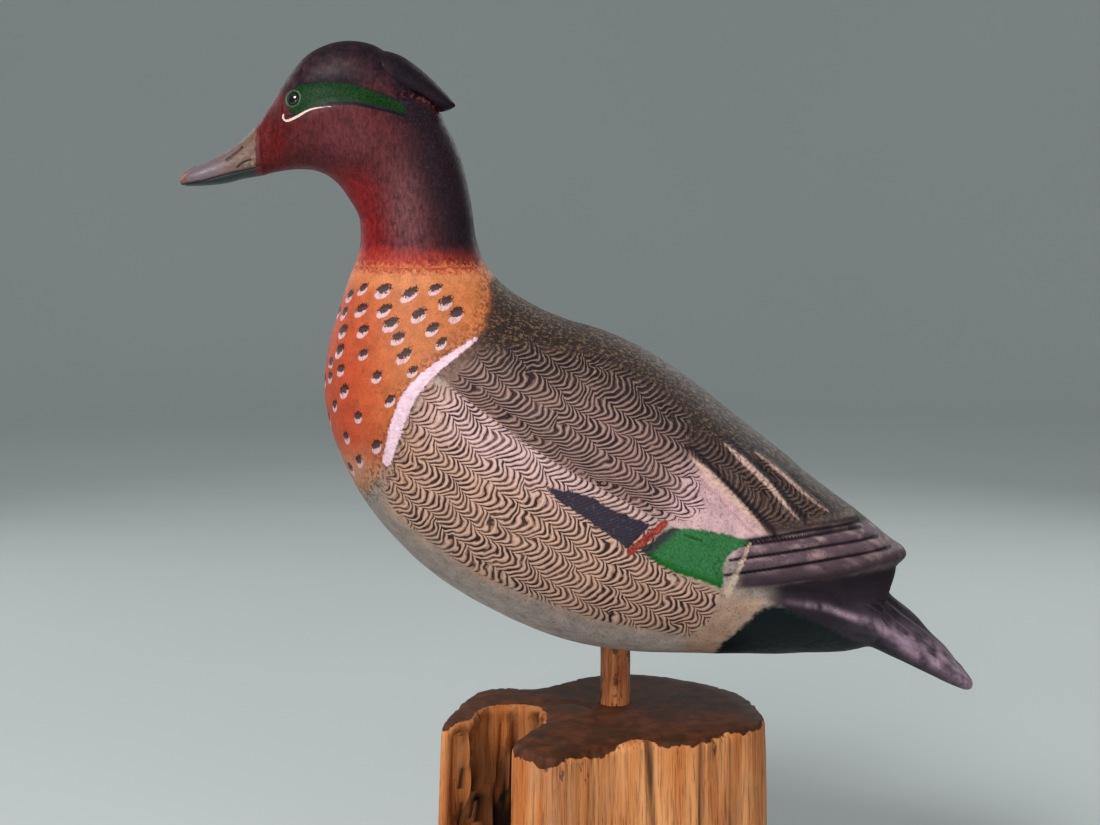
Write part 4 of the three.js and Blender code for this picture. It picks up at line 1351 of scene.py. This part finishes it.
def putty_ring(name, point, normal):
    """A soft lip of putty between the glass and the socket, and the bed behind the glass."""
    middle = (SOCKET_RADIUS + EYE_RADIUS) / 2 + 0.05
    half = (SOCKET_RADIUS - EYE_RADIUS) / 2 - 0.02
    lip = [(middle + half * math.cos(a), -0.45 + 0.75 * math.sin(a))
           for a in np.linspace(math.pi, 0, 10)]
    profile = [(middle - half, -2.9), (middle - half, -2.2), *lip, (middle + half, -5.1),
               (0.4, -5.1), (0.4, -2.9)]
    return turned(name, profile, point, normal, torus_mesh, 50)


def torus_mesh(name, grid):
    """A mesh over rings that close on themselves both ways."""
    rings, around, _ = grid.shape
    ring, step = np.meshgrid(np.arange(rings), np.arange(around), indexing="ij")
    next_ring, next_step = (ring + 1) % rings, (step + 1) % around
    quads = np.stack([ring * around + step, ring * around + next_step,
                      next_ring * around + next_step, next_ring * around + step], -1)
    return mesh_from(name, grid.reshape(-1, 3), [quads.reshape(-1, 4)])


# ------------------------------------------------------------------------------------
# The stick and the post

def make_stick(material):
    """A dowel, a little out of round, with softened ends."""
    heights = np.concatenate([[STICK_FOOT, STICK_FOOT + 0.5],
                              np.linspace(STICK_FOOT + 1.2, STICK_TOP - 1.2, 120),
                              [STICK_TOP - 0.5, STICK_TOP]])[:, None]
    radii = np.full(heights.shape, STICK_RADIUS)
    radii[[0, -1]] -= 1.0
    radii[[1, -2]] -= 0.3
    angles = np.linspace(0, 2 * np.pi, 72, endpoint=False)
    grid = np.stack([radii * np.cos(angles), radii * np.sin(angles), heights + 0 * angles], -1)
    flat = grid.reshape(-1, 3)
    worn = -0.12 + 0.11 * layered_noise(flat * [1, 1, 0.12], 3, 91)
    flat[:, :2] *= (1 + worn / STICK_RADIUS)[:, None]
    mesh = skin_mesh("dowel_stick", flat.reshape(grid.shape))
    return smoothed(painted(add_object("dowel_stick", mesh), material))


POST_OUTLINE = [
    [26, -58], [30, -70], [18, -70], [5, -67], [-19, -59], [-28, -46], [-26, -34],
    [-40, -18], [-49, -3], [-50, 13], [-42, 30], [-32, 42], [-16, 54], [5, 60],
    [27, 59], [40, 49], [52, 33], [57, 16], [60, 2], [66, -10], [76, -20], [79, -28],
    [72, -36], [58, -42], [44, -38], [30, -32], [16, -31], [5, -34], [3, -44], [10, -54],
]
CLEFT = Line([(27, -61), (18, -56), (11, -51), (5, -44), (6, -37), (14, -33), (24, -32)])
TOP_GROOVE = Line([(5, -36), (0, -28), (2, -14), (12, -8)])


def post_outline(step):
    """Points round the post's top, about one step apart, and their outward directions."""
    path = np.array([POST_OUTLINE[-1], *POST_OUTLINE, *POST_OUTLINE[:3]], float)
    fine = between(path, np.linspace(1, len(path) - 3, 4000))[:-1]
    closed = np.concatenate([fine, fine[:1]])
    total = np.concatenate([[0], np.cumsum(np.hypot(*np.diff(closed, axis=0).T))])
    places = np.linspace(0, total[-1], int(total[-1] / step), endpoint=False)
    points = np.stack([np.interp(places, total, closed[:, k]) for k in (0, 1)], -1)
    ahead = np.roll(points, -3, axis=0) - np.roll(points, 3, axis=0)
    ahead /= np.linalg.norm(ahead, axis=1, keepdims=True)
    after = np.roll(points, -1, axis=0)
    area = np.sum(points[:, 0] * after[:, 1] - points[:, 1] * after[:, 0])
    turn = int(np.sign(area))
    outward = np.stack([ahead[:, 1], -ahead[:, 0]], -1) * turn
    return points[::turn], outward[::turn]


def post_walls(ring, outward, inside, heights):
    """Rows of points up the post's split and fluted sides, and how much painted shade each point
    gets in its cracks and holes.
    """
    rows, marks = [], []
    for height in heights:
        level = np.full(len(ring), height)
        spot = np.column_stack([ring, level])
        flutes = 1.5 * layered_noise(spot * [1, 1, 0.08], 11, 101)
        ribs = 0.9 * layered_noise(spot * [1, 1, 0.05], 3.6, 111)
        crack = bump(value_noise(spot * [1, 1, 0.035], 7, 121), 0.045)
        crack = crack * smooth(value_noise(spot * [1, 1, 0.5], 30, 131), -0.2, 0.3)
        fine_crack = bump(value_noise(spot * [1, 1, 0.06], 3.0, 141), 0.06)
        fine_crack = fine_crack * smooth(value_noise(spot, 22, 151), 0.0, 0.4)
        holes = smooth(layered_noise(spot * [1, 1, 0.10], 6, 161), -0.3, 0.15)
        deep = inside * holes * smooth(-height, 2, 9)
        out = flutes + ribs - 1.6 * crack - 0.7 * fine_crack - 8.5 * deep
        out -= inside * 1.7 * (1 - holes) * layered_noise(spot * [1, 1, 0.1], 2.2, 171)
        rim = 1.6 * (1 - smooth(-height, -0.5, 6)) ** 2
        moved = ring * post_flare(height) + outward * (out - rim - 0.6)[:, None]
        rows.append(np.column_stack([moved, level]))
        # the cracks and the deep holes get painted shade
        dark = 0.9 * crack + 0.6 * fine_crack + 0.95 * smooth(deep, 0.25, 0.8)
        marks.append(np.clip(dark, 0, 1))
    return np.stack(rows), np.stack(marks)


def post_flare(height):
    """How much wider than its top the post is at a height."""
    return 1 + (POST_FLARE - 1) * -height / POST_TOP


def triangulated(points, around):
    """Triangles inside the loop of the first points, through the points after it."""
    loop = list(range(around))
    edges = [(k, (k + 1) % around) for k in loop]
    found, _, faces, *_ = delaunay_2d_cdt([Vector(p) for p in points], edges, [loop], 1, 1e-5)
    return np.array([tuple(p) for p in found]), np.array(faces)


def post_top(rim, rim_line):
    """The worn top as a sheet of triangles: the points inside the rim, and the faces."""
    around = len(rim)
    low, high = rim.min(0), rim.max(0)
    xs, ys = np.meshgrid(np.arange(low[0], high[0], 2.2), np.arange(low[1], high[1], 2.2))
    inner = np.stack([xs.ravel(), ys.ravel()], -1)
    flat = np.column_stack([inner, 0 * inner[:, 0]])
    inner = inner + 0.5 * np.stack([value_noise(flat, 1, seed) for seed in (181, 182)], -1)
    inner = inner[rim_line.area(*inner.T) < -1.3]
    top, faces = triangulated(np.concatenate([rim[:, :2], inner]), around)
    away = -rim_line.area(*top.T)
    height = -1.0 + 1.0 * smooth(away, 0, 7)
    sag = np.abs(layered_noise(np.column_stack([top, np.zeros(len(top))]), 12, 191))
    height -= 0.35 * sag * smooth(away, 1, 6)
    groove = np.interp(TOP_GROOVE.measure(*top.T)[0], [0, 1.2, 4], [1.5, 0.5, 0])
    height -= groove * smooth(away, 0.5, 3)
    return np.column_stack([top, height])[around:], faces


def make_post(material):
    """Weathered timber: fluted and split along the grain, its top worn round and painted."""
    ring, outward = post_outline(1.15)
    heights = np.concatenate([np.linspace(-POST_TOP, -6, 72), np.linspace(-5, -1.0, 5)])
    inside = 1 - smooth(CLEFT.measure(*ring.T)[0], 3, 9)
    walls, marks = post_walls(ring, outward, inside, heights)
    rim_line = Line(walls[-1][::2, :2], closed=True, corners=True)
    top, top_faces = post_top(walls[-1], rim_line)
    around = len(ring)
    row, step = np.meshgrid(np.arange(len(heights) - 1), np.arange(around), indexing="ij")
    here, after = row * around + step, row * around + (step + 1) % around
    quads = np.stack([here, after, after + around, here + around], -1).reshape(-1, 4)
    # the top's faces count its rim first, which is the last row of the walls
    top_faces = top_faces + (len(heights) - 1) * around
    foot_faces = triangulated(walls[0][:, :2], around)[1][:, ::-1]
    points = np.concatenate([walls.reshape(-1, 3), top])
    mesh = mesh_from("timber_post", points, [quads, top_faces, foot_faces])
    piece = painted(add_object("timber_post", mesh), material)
    hole = painted(rod("stick_hole", (0, 0, STICK_FOOT - PLAY), (0, 0, 20), HOLE_RADIUS, 64),
                   material)
    boolean(piece, "DIFFERENCE", hole)
    discard(hole)
    paint_post(piece.data, ring, inside, heights, marks, rim_line)
    return smoothed(piece, 60)


def paint_post(mesh, ring, inside, heights, marks, rim_line):
    """How far paint ran down over the rim, how much painted shade each crack and hole has, and
    the cleft.
    """
    p = vertex_points(mesh)
    x, y, h = p.T
    on_ring = np.array([np.argmin(np.sum((ring - spot) ** 2, axis=1))
                        for spot in p[:, :2] / post_flare(p[:, 2:])])
    on_row = np.abs(heights - p[:, 2:]).argmin(1)
    from_rim = np.where(h > -1.5, -rim_line.area(x, y), 0)
    on_side = 1 - smooth(from_rim, 0.5, 2)
    run = np.column_stack([ring[on_ring], 0 * h])
    ragged = 3.5 + 4.0 * layered_noise(run, 14, 201) + 2.2 * layered_noise(run, 3, 211)
    ragged = ragged * (1 - 0.9 * inside[on_ring])
    from_rim = from_rim - 13 * bump(y - CHIP[1], 6) * bump(x - CHIP[0], 10)
    store(mesh, "timber", h + np.maximum(ragged, 0.3) + from_rim,
          marks[on_row, on_ring] * on_side,
          inside[on_ring] * (1 - smooth(from_rim, 0.5, 2)))


def post_material():
    s = Shader("weathered_timber")
    overlap, dark, inside = s.stored("timber")
    grain = s.noise(1.3, 6.0, 0.65, stretch=(1, 1, 0.045))
    broad = s.noise(9, 3.0, 0.5, stretch=(1, 1, 0.10))
    patches = s.noise(22, 3.0, 0.5, stretch=(1, 1, 0.5))
    wood = s.mix(s.step(broad, 0.32, 0.68), colour(196, 112, 54), colour(226, 156, 100))
    wood = s.mix(s.step(patches, 0.5, 0.68, 0, 0.6), wood, colour(164, 118, 88))
    wood = s.mix(s.step(grain, 0.52, 0.30, 0, 0.75), wood, colour(120, 68, 34))
    fine = s.noise(0.55, 4.0, 0.6, stretch=(1, 1, 0.03))
    wood = s.mix(s.step(fine, 0.42, 0.30, 0, 0.8), wood, colour(74, 40, 20))
    wood = s.mix(inside * 0.6, wood, colour(150, 82, 34))
    stain = s.step(s.noise(8, 4.0, 0.65, stretch=(1, 1, 0.4)), 0.64, 0.69, 0, 0.8)
    wood = s.mix(stain, wood, colour(62, 48, 52))
    # painted shade in the cracks and holes
    wood = s.mix(dark, wood, colour(16, 7, 4))
    # the painted top, whose edge runs down a little over the rim
    mask = s.step((s.noise(1.6, 4.0) - 0.5) * 2.6 + overlap, -0.2, 0.35)
    soft = s.step(s.noise(6, 4.0, 0.6), 0.3, 0.7)
    paint = s.mix(soft, colour(56, 24, 6), colour(92, 46, 18))
    paint = s.mix(s.step(s.noise(14, 2.0), 0.45, 0.65, 0, 0.6), paint, colour(46, 28, 8))
    both = s.mix(mask, wood, paint)
    height = grain * s.step(mask, 0, 1, 1.0, 0.35)
    rough = s.step(mask, 0, 1, 0.78, 0.62)
    return s.finish(both, rough, height, 0.7, specular_ior_level=0.25)


# ------------------------------------------------------------------------------------
# Camera, light and floor

def make_camera():
    data = bpy.data.cameras.new("camera")
    data.lens = LENS
    data.sensor_width = SENSOR
    camera = bpy.data.objects.new("camera", data)
    bpy.context.scene.collection.objects.link(camera)
    camera.location = CAMERA_AT
    camera.rotation_euler = (math.radians(90 - CAMERA_DIP), 0, math.radians(90))
    bpy.context.scene.camera = camera


def soft_light(name, at, aim, size, power, tint=(1, 1, 1)):
    data = bpy.data.lights.new(name, "AREA")
    data.shape = "DISK"
    data.size = size
    data.energy = power
    data.color = tint
    lamp = bpy.data.objects.new(name, data)
    bpy.context.scene.collection.objects.link(lamp)
    lamp.location = at
    lamp.visible_camera = False
    lamp.rotation_euler = (Vector(aim) - Vector(at)).to_track_quat("-Z", "Y").to_euler()


def make_studio():
    middle = (0, 0, 0.22)
    soft_light("key", (0.75, -0.55, 1.15), middle, 0.5, 15.5)
    soft_light("fill", (1.0, 0.8, 0.5), middle, 1.0, 3)
    soft_light("low", (1.2, -0.2, 0.32), (0, 0, 0.16), 0.5, 2.4)
    soft_light("back", (-0.8, 0.45, 0.6), middle, 0.6, 2)
    soft_light("nape", (-0.7, -0.7, 0.5), middle, 0.6, 1.5)
    world = bpy.data.worlds.new("studio")
    world.use_nodes = True
    world.node_tree.nodes["Background"].inputs[0].default_value = (0.86, 0.89, 0.9, 1)
    world.node_tree.nodes["Background"].inputs[1].default_value = 0.36
    bpy.context.scene.world = world
    bpy.context.scene.view_settings.view_transform = "Standard"
    floor = painted(add_object("floor", studio_bowl()), floor_material())


def studio_bowl():
    """A floor that curves up all round into a plain wall."""
    flat, curve, top = 1.6, 1.1, 2.4
    rise = [(flat + curve * math.sin(a), curve * (1 - math.cos(a)))
            for a in np.linspace(0, math.pi / 2, 24)]
    rings = [(0.0001, 0), (0.4, 0), (0.9, 0)] + rise + [(flat + curve, top)]
    mesh = bpy.data.meshes.new("floor")
    shape = bmesh.new()
    steps = 96
    rows = [[shape.verts.new((r * math.cos(2 * math.pi * k / steps),
                              r * math.sin(2 * math.pi * k / steps), z)) for k in range(steps)]
            for r, z in rings]
    for low, high in zip(rows[:-1], rows[1:]):
        for k in range(steps):
            after = (k + 1) % steps
            shape.faces.new((low[k], high[k], high[after], low[after])).smooth = True
    shape.to_mesh(mesh)
    shape.free()
    return mesh


def floor_material():
    s = Shader("pale_floor")
    tone = s.mix(s.noise(400, 2.0), (0.50, 0.54, 0.54), (0.54, 0.58, 0.58))
    return s.finish(tone, 0.85)


# ------------------------------------------------------------------------------------
# Assembly

make_camera()
PAINT = body_material()
HEAD_PAINT = head_material()
BILL_PAINT = bill_material()
BARE_WOOD = wood_material("bare_carving_wood", (150, 110, 70), (196, 158, 112), (1, 0.12, 1))
BLOCK_WOOD = wood_material("block_wood", (148, 104, 62), (190, 148, 98), (1, 0.1, 1))
DOWEL = wood_material("dowel_wood", (170, 128, 82), (206, 168, 120), (1, 1, 0.1), 0.8)
STICK_WOOD = wood_material("stick_wood", (160, 82, 40), (226, 150, 96), (1, 1, 0.09), 1.1,
                           (0.42, 0.6), (58, 28, 16))
STEEL = steel_material()
PUTTY = putty_material()
GLASS = eye_material()

bird = make_bird(PAINT, HEAD_PAINT, BILL_PAINT, BARE_WOOD)
for key, node, slot in (("head", "head", "painted_head"), ("upper", "body_upper", "painted_body"),
                        ("lower", "body_lower", "painted_body"),
                        ("bill", "bill", "painted_bill")):
    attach(bird[key], "decoy")
    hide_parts(node)
for side, word in ((1, "left"), (-1, "right")):
    point, normal = bird["eyes"][side]
    eye = painted(glass_eye("glass_eye_" + word, point, normal), GLASS)
    ring = painted(putty_ring("putty_ring_" + word, point, normal), PUTTY)
    for piece, node, slot in ((eye, "eye_" + word, "glass_eye"),
                              (ring, "eye_putty_" + word, "putty")):
        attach(piece, "decoy")
        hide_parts(node)

stick = make_stick(STICK_WOOD)
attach(stick, "stick")
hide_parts("stand_stick")
post = make_post(post_material())
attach(post, "stand")
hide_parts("post")

for name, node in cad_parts.items():
    if node.hide_render:
        continue
    material = STEEL if "screw" in name or "washer" in name else DOWEL
    material = BLOCK_WOOD if name == "stick_block" else material
    painted(node, material)

make_studio()
